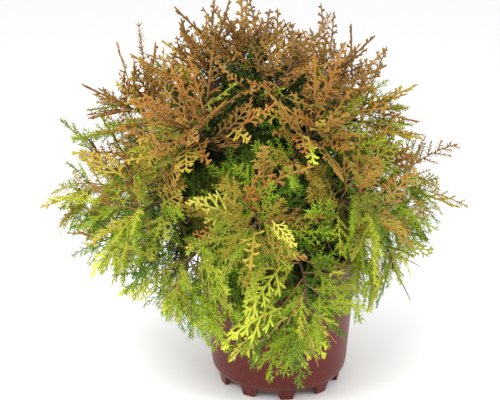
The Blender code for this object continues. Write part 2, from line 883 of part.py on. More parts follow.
def stand_on_origin(plant):
    """One empty carries the plant and brings the middle of the bottom of its box to the origin."""
    bpy.context.view_layer.update()
    graph = bpy.context.evaluated_depsgraph_get()
    corners = []
    for obj in plant.objects:
        shown = obj.evaluated_get(graph)
        corners += [shown.matrix_world @ vert.co for vert in shown.data.vertices]
    low = Vector([min(corner[axis] for corner in corners) for axis in range(3)])
    high = Vector([max(corner[axis] for corner in corners) for axis in range(3)])
    root = bpy.data.objects.new("plant_origin", None)
    plant.objects.link(root)
    movers = [obj for obj in bpy.data.objects if obj is not root and not obj.parent]
    for obj in movers:
        obj.parent = root
    root.location = (-(low.x + high.x) / 2, -(low.y + high.y) / 2, -low.z)


def main():
    clear_scene()
    plant = new_collection("eastern_arborvitae")
    cutters = new_collection("cutters")
    pot_plastic = new_material("pot_plastic", (0.150, 0.030, 0.030), 0.38)
    earth = new_material("potting_mix", (0.045, 0.030, 0.020), 0.95)
    bark = new_material("bark", (0.110, 0.062, 0.038), 0.85)
    finishes = {
        "skirt": new_material("lime_foliage", (0.235, 0.300, 0.045), 0.60),
        "side": new_material("green_foliage", (0.200, 0.220, 0.040), 0.60),
        "upper": new_material("gold_foliage", (0.250, 0.180, 0.045), 0.62),
        "top": new_material("bronze_foliage", (0.230, 0.120, 0.040), 0.65),
    }
    make_pot(plant, cutters, pot_plastic)
    make_soil(plant, earth)
    trunk = trunk_stations()
    leaders = leader_limbs()
    boughs, masses = crown_layout(leaders)
    make_limbs(trunk, leaders, boughs, plant, cutters, bark)
    limbs = [trunk] + [limb.stations(LIMB_SHARES) for limb in leaders]
    limbs += [bough.stations(LIMB_SHARES) for bough, _ in boughs]
    make_foliage(masses, limbs, plant, finishes)
    stand_on_origin(plant)


main()
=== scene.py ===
# %% [markdown]
# # A potted eastern arborvitae
# The plant is a dwarf globe arborvitae in a maroon nursery pot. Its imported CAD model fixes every
# size and place. This lesson loads that model and grows the fine parts on it: the moulded pot,
# crumbly soil, stringy bark, twigs, needle sprays low down and inside, and flat scaly fans in
# winter bronze on top.

# %% Load the frame
import math
from collections import namedtuple
from random import Random

import bpy
import numpy as np
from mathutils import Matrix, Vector


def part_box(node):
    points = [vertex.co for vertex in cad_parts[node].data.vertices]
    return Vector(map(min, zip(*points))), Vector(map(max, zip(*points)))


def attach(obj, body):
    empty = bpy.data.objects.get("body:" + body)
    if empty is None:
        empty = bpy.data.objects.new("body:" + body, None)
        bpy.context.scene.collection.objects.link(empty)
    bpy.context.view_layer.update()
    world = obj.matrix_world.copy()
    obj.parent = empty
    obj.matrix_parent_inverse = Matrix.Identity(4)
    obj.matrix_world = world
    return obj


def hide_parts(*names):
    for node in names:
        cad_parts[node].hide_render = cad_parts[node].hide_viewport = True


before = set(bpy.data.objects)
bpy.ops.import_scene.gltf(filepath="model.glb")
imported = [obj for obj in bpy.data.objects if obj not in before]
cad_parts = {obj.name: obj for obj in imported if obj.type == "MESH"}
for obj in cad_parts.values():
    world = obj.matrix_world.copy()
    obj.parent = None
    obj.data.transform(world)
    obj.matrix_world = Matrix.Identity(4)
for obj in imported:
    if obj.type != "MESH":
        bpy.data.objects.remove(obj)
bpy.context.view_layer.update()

# %% [markdown]
# ## Where everything stands
# The CAD was laid out round the middle of the crown, with the pot a little to the right of it. The
# same numbers are used here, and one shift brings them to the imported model. The pot's box gives the
# shift, so nothing has to be fitted by eye.

# %% The layout's own origin
POT_X = 0.043
pot_low, pot_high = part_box("pot")
POT_HEIGHT = pot_high.z
RIM_RADIUS = (pot_high.x - pot_low.x) / 2
ORIGIN = np.array([(pot_low.x + pot_high.x) / 2 - POT_X, (pot_low.y + pot_high.y) / 2, 0.0])
UP = np.array([0.0, 0.0, 1.0])
print("shift of the layout:", ORIGIN.round(4), "pot height:", round(POT_HEIGHT, 4))

# %% [markdown]
# ## Tools for surfaces
# Every new piece is a surface worked out as whole arrays. A grid of points becomes triangles, and a
# round limb is a ring of points carried along a path. Many limbs of one kind are made in one go.


# %% Vectors, grids and meshes
def unit(vectors):
    """v / |v|, for one vector or for an array of them."""
    return vectors / np.linalg.norm(vectors, axis=-1, keepdims=True)


def turns(count):
    """Equal angles once round, from 0."""
    return np.arange(count) * math.tau / count


def turned_about(vector, angle, axis):
    """Rodrigues' turn: v cos a + (k x v) sin a + k (k . v)(1 - cos a)."""
    cosine, sine = math.cos(angle), math.sin(angle)
    along = axis * np.dot(axis, vector) * (1 - cosine)
    return vector * cosine + np.cross(axis, vector) * sine + along


def grid_faces(index):
    """Two triangles for each cell of grids of vertex numbers (..., rows, columns), joined round."""
    right = np.roll(index, -1, axis=-1)
    a, b = index[..., :-1, :], right[..., :-1, :]
    c, d = right[..., 1:, :], index[..., 1:, :]
    halves = np.stack([np.stack([a, b, c], -1), np.stack([a, c, d], -1)])
    return halves.reshape(-1, 3)


def copies(points, faces):
    """Points (copies, corners, 3) whose copies share one list of faces, as one surface."""
    index = np.array(faces) + np.arange(len(points))[:, None, None] * points.shape[1]
    return points.reshape(-1, 3), index.reshape(-1, 3)


def joined(surfaces):
    """Several (points, faces) as one: each one's faces count on from the points before it."""
    sizes = np.cumsum([0] + [len(points) for points, _ in surfaces])
    points = np.concatenate([points for points, _ in surfaces])
    faces = np.concatenate([faces + size for (_, faces), size in zip(surfaces, sizes)])
    return points, faces


def mesh_of(name, points, faces):
    """Points of the layout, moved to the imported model, and triangles, as a Blender mesh."""
    mesh = bpy.data.meshes.new(name)
    mesh.vertices.add(len(points))
    mesh.vertices.foreach_set("co", (points + ORIGIN).astype(np.float32).ravel())
    mesh.loops.add(faces.size)
    mesh.loops.foreach_set("vertex_index", faces.astype(np.int32).ravel())
    mesh.polygons.add(len(faces))
    mesh.polygons.foreach_set("loop_start", np.arange(0, faces.size, 3, dtype=np.int32))
    mesh.update(calc_edges=True)
    mesh.validate()
    return mesh


def linked(name, data):
    """A new object with this data, in the scene."""
    made = bpy.data.objects.new(name, data)
    bpy.context.scene.collection.objects.link(made)
    return made


def add_piece(name, surface, materials, replaced=(), tints=None, corner=None):
    """Put a surface in the scene on the one body, in place of the CAD nodes it stands for."""
    mesh = mesh_of(name, *surface)
    for material in materials:
        mesh.materials.append(material)
    if tints is not None:
        mesh.polygons.foreach_set("material_index", tints.astype(np.int32))
    if corner is not None:
        mesh.shade_smooth()
        mesh.set_sharp_from_angle(angle=math.radians(corner))
    piece = linked(name, mesh)
    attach(piece, "root")
    if replaced:
        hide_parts(*replaced)
    print(f"{name}: {len(mesh.polygons)} faces")
    return piece


def tubes(paths, radii, sides, nose=0.6):
    """Closed tubes along paths (tubes, stations, 3): path + radius (cos a u + sin a v).

    u and v are square to the path. radii is (tubes, stations), or has a column for each side.
    Each end is drawn to a point, nose radii beyond the path. The walls'
    first triangles come first, then their second ones, then those of the two ends.
    """
    count, stations, _ = paths.shape
    radii = radii.reshape(count, stations, -1)
    along = unit(np.gradient(paths, axis=1))
    steep = np.abs(along[..., 2]).mean(axis=1) > 0.8
    level = np.where(steep[:, None, None], np.array([1.0, 0.0, 0.0]), UP)
    u = unit(np.cross(along, np.broadcast_to(level, along.shape)))
    v = np.cross(along, u)
    turn = turns(sides)[:, None]
    ring = np.cos(turn) * u[:, :, None] + np.sin(turn) * v[:, :, None]
    walls = (paths[:, :, None] + radii[..., None] * ring).reshape(count, -1, 3)
    first = paths[:, :1] - along[:, :1] * radii[:, :1].mean(axis=2, keepdims=True) * nose
    last = paths[:, -1:] + along[:, -1:] * radii[:, -1:].mean(axis=2, keepdims=True) * nose
    points = np.concatenate([walls, first, last], axis=1)
    size = points.shape[1]
    offset = np.arange(count)[:, None, None] * size
    index = np.arange(stations * sides).reshape(1, stations, sides) + offset
    low, high = index[:, 0], index[:, -1]
    start = np.stack([offset[:, 0] + size - 2 + 0 * low, np.roll(low, -1, axis=1), low], -1)
    end = np.stack([offset[:, 0] + size - 1 + 0 * high, high, np.roll(high, -1, axis=1)], -1)
    faces = np.concatenate([grid_faces(index), start.reshape(-1, 3), end.reshape(-1, 3)])
    return points.reshape(-1, 3), faces


def turned(radius, height, angles):
    """A closed surface of revolution round the pot's axis: (r cos a, r sin a, z) on a grid.

    Rows run from one pole to the other, up the outside. A pole's row is one point.
    """
    across, deep = radius * np.cos(angles), radius * np.sin(angles)
    points = np.stack([across + POT_X, deep, height + 0 * across], -1)
    rows, columns = across.shape
    index = np.arange(rows * columns).reshape(rows, columns)
    index[0], index[-1] = index[0, 0], index[-1, 0]
    faces = grid_faces(index)
    a, b, c = faces.T
    real = (a != b) & (b != c) & (a != c)
    used, faces = np.unique(faces[real], return_inverse=True)
    return points.reshape(-1, 3)[used], faces.reshape(-1, 3)


LONGEST_CUT = 0.45


def rounded(section, size, steps=4):
    """A section's rows with each corner p made an arc: (1-t)^2 a + 2 t (1-t) p + t^2 b."""
    section = np.array(section)
    corner = section[1:-1]

    def towards(other):
        reach = np.minimum(size, np.linalg.norm(other - corner, axis=1) * LONGEST_CUT)
        return corner + unit(other - corner) * reach[:, None]

    a, b = towards(section[:-2]), towards(section[2:])
    t = np.linspace(0, 1, steps)[:, None, None]
    arcs = (1 - t) ** 2 * a + 2 * t * (1 - t) * corner + t**2 * b
    inner = arcs.transpose(1, 0, 2).reshape(-1, section.shape[1])
    return np.concatenate([section[:1], inner, section[-1:]])


# %% [markdown]
# ## Tools for finishes
# A finish is one Principled material. Shader maths is written as ordinary expressions: `Value`
# wraps a socket, and its operators add Math nodes. Every other node comes from one method of
# `Finish`.


# %% Shader expressions
class Value:
    """A socket of a finish that can be added, subtracted and multiplied."""

    def __init__(self, finish, socket):
        self.finish = finish
        self.socket = socket

    def combined(self, operation, *terms):
        sockets = dict(enumerate(terms))
        return self.finish.node("ShaderNodeMath", {"operation": operation}, sockets)

    def __add__(self, other):
        return self.combined("ADD", self, other)

    def __rsub__(self, other):
        return self.combined("SUBTRACT", other, self)

    def __mul__(self, other):
        return self.combined("MULTIPLY", self, other)

    __radd__, __rmul__ = __add__, __mul__


class Finish:
    """A Principled material of one colour and roughness, to which nodes can be added."""

    def __init__(self, name, colour, roughness):
        self.material = bpy.data.materials.new(name)
        self.material.use_nodes = True
        self.nodes = self.material.node_tree.nodes
        self.links = self.material.node_tree.links
        self.shader = self.nodes["Principled BSDF"]
        self.set("Base Color", (*colour, 1.0))
        self.set("Roughness", roughness)

    def feed(self, socket, value):
        if isinstance(value, Value):
            self.links.new(value.socket, socket)
        else:
            socket.default_value = value

    def set(self, name, value):
        self.feed(self.shader.inputs[name], value)

    def node(self, kind, settings, sockets, output=0):
        """A node of this kind: its settings first, then each socket's value or link."""
        made = self.nodes.new(kind)
        for key, value in settings.items():
            if key == "stops":
                for element, (place, colour) in zip(made.color_ramp.elements, value):
                    element.position = place
                    element.color = (*colour, 1.0)
                for place, colour in value[len(made.color_ramp.elements):]:
                    made.color_ramp.elements.new(place).color = (*colour, 1.0)
            else:
                setattr(made, key, value)
        for key, value in sockets.items():
            self.feed(made.inputs[key], value)
        return Value(self, made.outputs[output])

    def place(self):
        return self.node("ShaderNodeTexCoord", {}, {}, "Object")

    def stretched(self, scale):
        return self.node("ShaderNodeMapping", {}, {"Vector": self.place(), "Scale": scale})

    def noise(self, where, scale, detail=3.0):
        sockets = {"Vector": where, "Scale": scale, "Detail": detail}
        return self.node("ShaderNodeTexNoise", {}, sockets)

    def between(self, value, low, high):
        """0 below low, 1 above high, and even between them."""
        sockets = {"Value": value, "From Min": low, "From Max": high}
        return self.node("ShaderNodeMapRange", {"clamp": True}, sockets)

    def ramp(self, value, stops):
        return self.node("ShaderNodeValToRGB", {"stops": stops}, {0: value})

    def mix(self, factor, first, second):
        sockets = {0: factor, 6: first, 7: second}
        return self.node("ShaderNodeMix", {"data_type": "RGBA"}, sockets, 2)

    def bump(self, height, strength, depth):
        sockets = {"Height": height, "Strength": strength, "Distance": depth}
        self.set("Normal", self.node("ShaderNodeBump", {}, sockets))


# %% [markdown]
# ## The pot
# The real pot is thin moulded plastic, dark maroon and satin, with a lip, a wall that tapers
# slightly, a rounded lower corner, and a foot ring with arches cut in it. It could be a turned
# shape with Boolean cuts. Here the arches are part of the formula instead: the lowest rows rise and
# fall with the angle, so the feet stay crisp and the mesh is one clean skin.

# %% The pot's section and feet
RIM_DROP = 0.012
LIP_ROUND = 0.0012
LIP_STEP = 0.0015
MOUTH_RADIUS = 0.1135
SHOULDER_Z = 0.032
SHOULDER_RADIUS = 0.1000
CORNER_IN = 0.0018
CORNER_DROP = 0.009
CORNER_TURN = 0.003
FOOT_RADIUS = 0.0895
FOOT_HEIGHT = 0.012
FLOOR_Z = 0.014
WALL = 0.0025
FEET = 10
FIRST_FOOT = math.radians(5.6)
FOOT_TOP_WIDTH = 0.026
FOOT_TIP_WIDTH = 0.017
FOOT_STEPS = (7, 2, 10, 2, 7)
EDGE_ROUND = 0.0009


def foot_columns():
    """Angles round the pot, and how high the arch is at each: even steps on every stretch."""
    ring = FOOT_RADIUS - WALL
    tip, top, middle = FOOT_TIP_WIDTH / 2 / ring, FOOT_TOP_WIDTH / 2 / ring, math.pi / FEET
    knots = (-middle, -top, -tip, tip, top, middle)
    stretches = zip(knots, knots[1:], FOOT_STEPS)
    across = np.concatenate([np.linspace(a, b, n, endpoint=False) for a, b, n in stretches])
    arch = FOOT_HEIGHT * np.clip((np.abs(across) - tip) / (top - tip), 0, 1)
    feet = FIRST_FOOT - math.pi / 2 + turns(FEET)[:, None]
    return (feet + across).ravel(), np.tile(arch, FEET)


def wall_radius(z):
    """Outer radius of the pot's straight wall at height z."""
    share = (z - SHOULDER_Z) / (POT_HEIGHT - SHOULDER_Z)
    return SHOULDER_RADIUS + (MOUTH_RADIUS - SHOULDER_RADIUS) * share


def pot_surface():
    """Rows of (radius, height, share of the arch) from under the floor, up, and down inside."""
    lip = POT_HEIGHT - RIM_DROP
    section = (
        (0.0, FLOOR_Z - WALL, 0),
        (FOOT_RADIUS - 2 * WALL, FLOOR_Z - WALL, 0),
        (FOOT_RADIUS - 2 * WALL, 0.0, 1),
        (FOOT_RADIUS, 0.0, 1),
        (FOOT_RADIUS + CORNER_TURN, FOOT_HEIGHT + CORNER_TURN, 0),
        (SHOULDER_RADIUS - CORNER_IN, SHOULDER_Z - CORNER_DROP, 0),
        (SHOULDER_RADIUS, SHOULDER_Z, 0),
        (wall_radius(lip - LIP_STEP), lip - LIP_STEP, 0),
        (RIM_RADIUS, lip, 0),
        (RIM_RADIUS, POT_HEIGHT - LIP_ROUND, 0),
        (RIM_RADIUS - LIP_ROUND, POT_HEIGHT, 0),
        (MOUTH_RADIUS - WALL, POT_HEIGHT, 0),
        (wall_radius(lip) - WALL, lip, 0),
        (SHOULDER_RADIUS - WALL, SHOULDER_Z + WALL, 0),
        (FOOT_RADIUS, FLOOR_Z, 0),
        (0.0, FLOOR_Z, 0),
    )
    rows = rounded(section, EDGE_ROUND)
    angles, arch = foot_columns()
    return turned(rows[:, :1], rows[:, 1:2] + rows[:, 2:] * arch, angles)


# %% [markdown]
# ## Plastic
# The pot's maroon is mottled a little. Dust lies on the foot, splashes have dried near the lip, and
# scuffs run round the wall.

# %% The plastic
PLASTIC_PLAIN = (0.150, 0.028, 0.027)
PLASTIC_DARK = (0.078, 0.0075, 0.005)
PLASTIC_PALE = (0.106, 0.012, 0.008)
DUST = (0.190, 0.120, 0.085, 1.0)


def pot_finish():
    """Maroon plastic: faint blotches, a dusty foot, dried splashes near the lip, fine scuffs."""
    finish = Finish("maroon_plastic", PLASTIC_PLAIN, 0.36)
    where = finish.place()
    plastic = finish.ramp(finish.noise(where, 14.0), [(0.3, PLASTIC_DARK), (0.7, PLASTIC_PALE)])
    height = finish.node("ShaderNodeSeparateXYZ", {}, {0: where}, 2)
    speckle = finish.between(finish.noise(where, 160.0), 0.48, 0.72)
    foot_dust = (1.0 - finish.between(height, 0.004, 0.050)) * speckle
    splashes = finish.between(height, 0.150, 0.200) * speckle
    dust = foot_dust * 0.30 + splashes * 0.10
    finish.set("Base Color", finish.mix(dust, plastic, DUST))
    scuffs = finish.noise(finish.stretched((60.0, 60.0, 400.0)), 1.0)
    finish.set("Roughness", 0.30 + scuffs * 0.14 + dust * 0.4)
    finish.set("Specular IOR Level", 0.25)
    finish.bump(scuffs, 0.12, 0.0006)
    return finish.material


pot_piece = add_piece(
    "nursery_pot", pot_surface(), [pot_finish()], ["pot"], corner=38
)

# %% [markdown]
# Water leaves through five round holes in the floor. They can't be part of a turned grid, so they
# are drilled with a Boolean, and its result is kept as the pot's mesh.

# %% Drain holes
DRAIN_HOLES = 5
DRAIN_RADIUS = 0.006
DRAIN_RING = 0.050
DRILL_HEIGHTS = np.array([0.004, 0.012, 0.021])
DRILL_SIDES = 24


def drilled(piece):
    """The piece's mesh less five upright cylinders through the pot's floor."""
    turn = turns(DRAIN_HOLES)
    feet = np.stack([POT_X + DRAIN_RING * np.sin(turn), DRAIN_RING * np.cos(turn), 0 * turn], -1)
    paths = feet[:, None] + DRILL_HEIGHTS[:, None] * UP
    drills = tubes(paths, np.full(paths.shape[:2], DRAIN_RADIUS), DRILL_SIDES, nose=0.0)
    cutter = linked("drills", mesh_of("drills", *drills))
    modifier = piece.modifiers.new("drill", "BOOLEAN")
    modifier.operation, modifier.solver, modifier.object = "DIFFERENCE", "EXACT", cutter
    graph = bpy.context.evaluated_depsgraph_get()
    mesh = bpy.data.meshes.new_from_object(piece.evaluated_get(graph))
    piece.modifiers.clear()
    bpy.data.objects.remove(cutter)
    return mesh


pot_piece.data = drilled(pot_piece)
print("faces after drilling:", len(pot_piece.data.polygons))

# %% [markdown]
# ## The soil
# Potting mix is bark crumbs, peat and a little white perlite, slightly lower at the wall. A noise
# texture alone would look flat from above, so the surface rolls gently and loose crumbs lie on it
# as real lumps.

# %% Soil and crumbs
SOIL_TOP = 0.186
SOIL_DIP = 0.003
SOIL_FLAT = 0.045
SOIL_GAP = 0.0006
SOIL_ROLL = 0.0011
SOIL_RINGS = 40
SOIL_COLUMNS = 120
CRUMBS = 1100
CRUMB_SIZES = (0.0009, 0.0030)
CRUMB_LIFT = 0.0004
CRUMB_MARGIN = 0.004
PERLITE_SHARE = 0.07
CRUMB_LOOKS = (
    ("bark_crumb", (0.070, 0.042, 0.026), 0.9),
    ("dark_crumb", (0.022, 0.015, 0.011), 0.9),
    ("perlite", (0.62, 0.60, 0.55), 0.8),
)
SOIL_EDGE = wall_radius(SOIL_TOP) - WALL - SOIL_GAP
SOIL_STOPS = [
    (0.35, (0.016, 0.010, 0.007)), (0.55, (0.050, 0.032, 0.021)), (0.75, (0.120, 0.080, 0.052))
]


def rolling(across, deep):
    """The soil's rise: crossed waves of three sizes, SOIL_ROLL high at most."""
    waves = np.sin(61 * across + 3) * np.sin(57 * deep + 1)
    waves = waves + 0.6 * np.sin(143 * across - 2) * np.sin(131 * deep + 4)
    return SOIL_ROLL * (waves + 0.4 * np.sin(290 * across) * np.sin(310 * deep)) / 2


def soil_height(radius):
    """Level in the middle, then a fall of SOIL_DIP to the wall."""
    fall = np.clip((radius - SOIL_FLAT) / (SOIL_EDGE - SOIL_FLAT), 0, 1)
    return SOIL_TOP - SOIL_DIP * fall


def soil_surface():
    """A closed plug: flat underneath, up along the pot's inside, and a rolling top."""
    side = np.array([
        (0.0, FLOOR_Z + SOIL_GAP),
        (FOOT_RADIUS - SOIL_GAP * 2, FLOOR_Z + SOIL_GAP),
        (SHOULDER_RADIUS - WALL - SOIL_GAP, SHOULDER_Z + WALL + SOIL_GAP),
    ])
    top = np.linspace(SOIL_EDGE, 0, SOIL_RINGS)
    radius = np.concatenate([side[:, 0], top])[:, None]
    height = np.concatenate([side[:, 1], soil_height(top)])[:, None]
    angles = np.linspace(0, math.tau, SOIL_COLUMNS, endpoint=False)
    on_top = np.arange(len(radius))[:, None] > len(side)
    roll = rolling(radius * np.cos(angles), radius * np.sin(angles)) * on_top
    return turned(radius, height + roll, angles)


def crumb_surface(count, rule):
    """Loose lumps: octahedra with uneven corners, each turned to three random directions.

    Returns the surface, and a chance from 0 to 1 for each face that its whole crumb shares.
    """
    corners = np.kron(np.eye(3), [[1], [-1]])
    faces = [(0, 2, 4), (2, 1, 4), (1, 3, 4), (3, 0, 4), (2, 0, 5), (1, 2, 5), (3, 1, 5), (0, 3, 5)]
    x = unit(rule.normal(size=(count, 3)))
    y = unit(np.cross(x, rule.normal(size=(count, 3))))
    frames = np.stack([x, y, np.cross(x, y)], axis=1)
    size = rule.uniform(*CRUMB_SIZES, (count, 1, 1)) * rule.uniform(0.5, 1.0, (count, 6, 1))
    radius = (SOIL_EDGE - CRUMB_MARGIN) * np.sqrt(rule.uniform(0.02, 1, count))
    angle = rule.uniform(0, math.tau, count)
    across, deep = radius * np.cos(angle), radius * np.sin(angle)
    height = soil_height(radius) + rolling(across, deep) + CRUMB_LIFT
    middle = np.stack([across + POT_X, deep, height], -1)
    points = np.einsum("vi,nij->nvj", corners, frames) * size + middle[:, None]
    return copies(points, faces), np.repeat(rule.uniform(size=count), len(faces))


def soil_finish():
    """Damp mix: three browns dealt by a fine noise, which also lifts the surface."""
    finish = Finish("potting_mix", (0.045, 0.030, 0.020), 0.95)
    where = finish.place()
    lumps = finish.noise(where, 180.0, 6.0)
    finish.set("Base Color", finish.ramp(lumps, SOIL_STOPS))
    finish.bump(lumps, 0.8, 0.003)
    return finish.material


add_piece("soil", soil_surface(), [soil_finish()], ["potting_soil"], corner=50)
crumbs, crumb_draw = crumb_surface(CRUMBS, np.random.default_rng(4))
crumb_finishes = [Finish(*look).material for look in CRUMB_LOOKS]
crumb_tints = (crumb_draw > 0.5).astype(int) + (crumb_draw > 1 - PERLITE_SHARE)
add_piece("soil_crumbs", crumbs, crumb_finishes, tints=crumb_tints)

# %% [markdown]
# ## The limbs' layout
# The trunk leans back to its fork, three leaders rise from it, and rings of boughs reach out to the
# masses of foliage. The rule is the CAD's own, written again, so that each fine limb lies where its
# solid does. A limb is an arc with a start, a bend and an end.

# %% Limbs and masses
GAP = 0.0003
CROWN_Z = 0.245
CROWN_MIDDLE = np.array([0.0, 0.0, CROWN_Z])
CROWN_RADIUS = 0.301
CROWN_DEPTH_RADIUS = 0.284
CROWN_RISE = 0.311
CROWN_FALL = 0.106
INSET = 0.91
OUTLIER = 1.03
OUTLIER_EVERY = 3
CROWN_FRONT_FALL = 0.262
SEED = 11
GOLDEN_ANGLE = math.pi * (3 - math.sqrt(5))
FORK = np.array([0.012, 0.000, 0.300])
TRUNK_FLARE = 0.019
FLARE_HEIGHT = 0.010
TRUNK_BOW = np.array([0.006, -0.003, 0.0])
TRUNK_RADIUS = 0.0125
TRUNK_SHARES = np.array([0.22, 0.48, 0.74, 1.00])
FORK_RADIUS = 0.0085
LEADER_RADIUS = 0.0058
LEADER_TIP_RADIUS = 0.0033
LEADER_OFFSET = 0.0068
LEADER_SINK = 0.008
LEADER_BOW = 0.45
BOUGH_RADIUS = 0.0034
BOUGH_TIP_RADIUS = 0.0022
BOUGH_BOW = 0.45
BOUGH_SHARE = 0.72
STEM_TIP_RADIUS = 0.0012
STEM_ROOT_SHARE = 0.9
SITE_SHARE = 0.55
SPRAY_LENGTH = 0.084
SPRAY_ROOT = 0.10
LEADERS = (
    ("leader_left", -100.0, (-0.046, -0.018, 0.418), 72.0),
    ("leader_right", 62.0, (0.084, -0.012, 0.408), 58.0),
    ("leader_back", 178.0, (0.016, 0.066, 0.420), 66.0),
)
RINGS = {
    "skirt": dict(count=8, first=13.0, entry=0.110, entry_z=0.240, lean=0.026, slope=4.0,
                  odd_slope=6.0, bow=0.62, lift=-0.7),
    "side": dict(count=8, first=0.0, entry=0.098, entry_z=0.290, lean=0.010, slope=14.0,
                 odd_slope=6.0, bow=0.35, lift=0.2),
    "upper": dict(count=6, first=30.0, entry=0.086, entry_z=0.356, lean=0.006, slope=30.0,
                  odd_slope=8.0, bow=0.35, lift=0.9),
}
SKIRT_FRONT = 13.0
SKIRT_REACH = 0.222
SKIRT_TIP_Z = 0.146
SKIRT_FRONT_DROP = 0.070
SKIRT_FRONT_TUCK = 0.020
SKIRT_FRONT_SHIFT = 0.017
SKIRT_STARTS = (0.216, 0.230)
SIDE_REACH = 0.284
SIDE_TIP_Z = 0.258
SIDE_LIFT = 0.012
SIDE_STARTS = (0.254, 0.270)
UPPER_REACH = 0.232
UPPER_TIP_Z = 0.436
UPPER_STARTS = (0.42, 0.62)
LEADER_TIPS = ((-0.094, -0.030, 0.524), (0.168, -0.018, 0.505), (0.030, 0.150, 0.524))
TOP_BOUGHS = (
    (0, 0.80, (0.018, -0.078, 0.420), 55.0, (0.040, -0.145, 0.508)),
    (2, 0.62, (-0.004, 0.014, 0.428), 80.0, (-0.012, 0.000, 0.556)),
)
TOP_BOW = 0.35
TOP_LIFT = 1.6


class Limb:
    """An arc (1-s)^2 start + 2 s (1-s) bend + s^2 end, whose radius tapers evenly."""

    def __init__(self, name, start, bend, end, radius, tip_radius):
        self.name = name
        self.start, self.bend, self.end = start, bend, end
        self.radius, self.tip_radius = radius, tip_radius

    def at(self, share):
        s = np.asarray(share, float)[..., None]
        return self.start * (1 - s) ** 2 + self.bend * 2 * s * (1 - s) + self.end * s**2

    def heading(self, share):
        return unit((self.bend - self.start) * (1 - share) + (self.end - self.bend) * share)

    def radius_at(self, share):
        return self.radius + (self.tip_radius - self.radius) * share


class Mass:
    """A mass of foliage: its ring, its stem, the limb that carries it and its twigs' lift."""

    def __init__(self, ring, stem, limb, lift):
        self.ring, self.stem, self.limb, self.lift = ring, stem, limb, lift
        self.number = 0


def outward(azimuth):
    """Level direction at this many degrees from the front, turning towards +X."""
    turn = math.radians(azimuth)
    return np.array([math.sin(turn), -math.cos(turn), 0.0])


def sloped(side, degrees):
    """A level direction tilted up by this many degrees."""
    slope = math.radians(degrees)
    return side * math.cos(slope) + UP * math.sin(slope)


def trunk_stations():
    """The trunk's axis from the soil to the fork, and its radius along it."""
    foot = np.array([POT_X, 0.0, SOIL_TOP + GAP])
    bow = TRUNK_BOW * np.sin(math.pi * TRUNK_SHARES)[:, None]
    upper = foot + (FORK - foot) * TRUNK_SHARES[:, None] + bow
    axis = np.concatenate([[foot, foot + UP * FLARE_HEIGHT], upper])
    radii = TRUNK_RADIUS + (FORK_RADIUS - TRUNK_RADIUS) * TRUNK_SHARES
    return axis, np.concatenate([[TRUNK_FLARE, TRUNK_RADIUS], radii])


def trunk_at(z):
    """The trunk's axis at height z, or at an array of heights."""
    axis, _ = trunk_stations()
    level = [np.interp(z, axis[:, 2], axis[:, k]) for k in range(2)]
    return np.stack([*level, z], axis=-1)


def leader_limbs():
    made = []
    for name, azimuth, tip, slope in LEADERS:
        side, tip = outward(azimuth), np.array(tip)
        start = FORK + side * LEADER_OFFSET - UP * LEADER_SINK
        bend = tip - sloped(side, slope) * np.linalg.norm(tip - start) * LEADER_BOW
        made.append(Limb(name, start, bend, tip, LEADER_RADIUS, LEADER_TIP_RADIUS))
    return made


def stem_past(limb, tip, bow, name):
    """A mass's stem: it carries its limb on, and its last spray reaches the mass's tip."""
    heading, tip = limb.heading(1.0), np.array(tip)
    entry = limb.end + heading * GAP
    bend = entry + heading * np.linalg.norm(tip - entry) * bow
    end = tip - unit(tip - bend) * SPRAY_LENGTH * (1 - SPRAY_ROOT)
    return Limb(name, entry, bend, end, limb.tip_radius * STEM_ROOT_SHARE, STEM_TIP_RADIUS)


def bough_to(name, start, carrier_radius, entry, heading):
    """A bough that meets its mass along heading, and is thinner than what carries it."""
    bend = entry - heading * np.linalg.norm(entry - start) * BOUGH_BOW
    radius = min(BOUGH_RADIUS, carrier_radius * BOUGH_SHARE)
    return Limb(name, start, bend, entry, radius, BOUGH_TIP_RADIUS)


def skirt_tip(side):
    """The skirt hangs lowest in front, where it covers the pot's lip."""
    front = max(0.0, side @ outward(SKIRT_FRONT)) ** 4
    lean, z = SKIRT_FRONT_SHIFT * front, SKIRT_TIP_Z - SKIRT_FRONT_DROP * front
    return side * (SKIRT_REACH - SKIRT_FRONT_TUCK * front) + np.array([lean, 0, z])


def side_tip(side):
    """The side ring reaches the crown's full width on the left and right."""
    widest = abs(side[0]) ** 6
    reach = SIDE_REACH + (CROWN_RADIUS - SIDE_REACH) * widest
    return side * reach + UP * (SIDE_TIP_Z + SIDE_LIFT * (1 - widest))


def upper_tip(side):
    return side * UPPER_REACH + UP * UPPER_TIP_Z


def bough_start(ring, side, odd, leaders):
    """Where a ring's bough leaves the trunk, or for the upper ring the leader on its side."""
    if ring == "upper":
        leader = max(leaders, key=lambda limb: limb.end @ side)
        return leader.at(UPPER_STARTS[odd]), leader.radius_at(UPPER_STARTS[odd])
    return trunk_at((SKIRT_STARTS if ring == "skirt" else SIDE_STARTS)[odd]), TRUNK_RADIUS


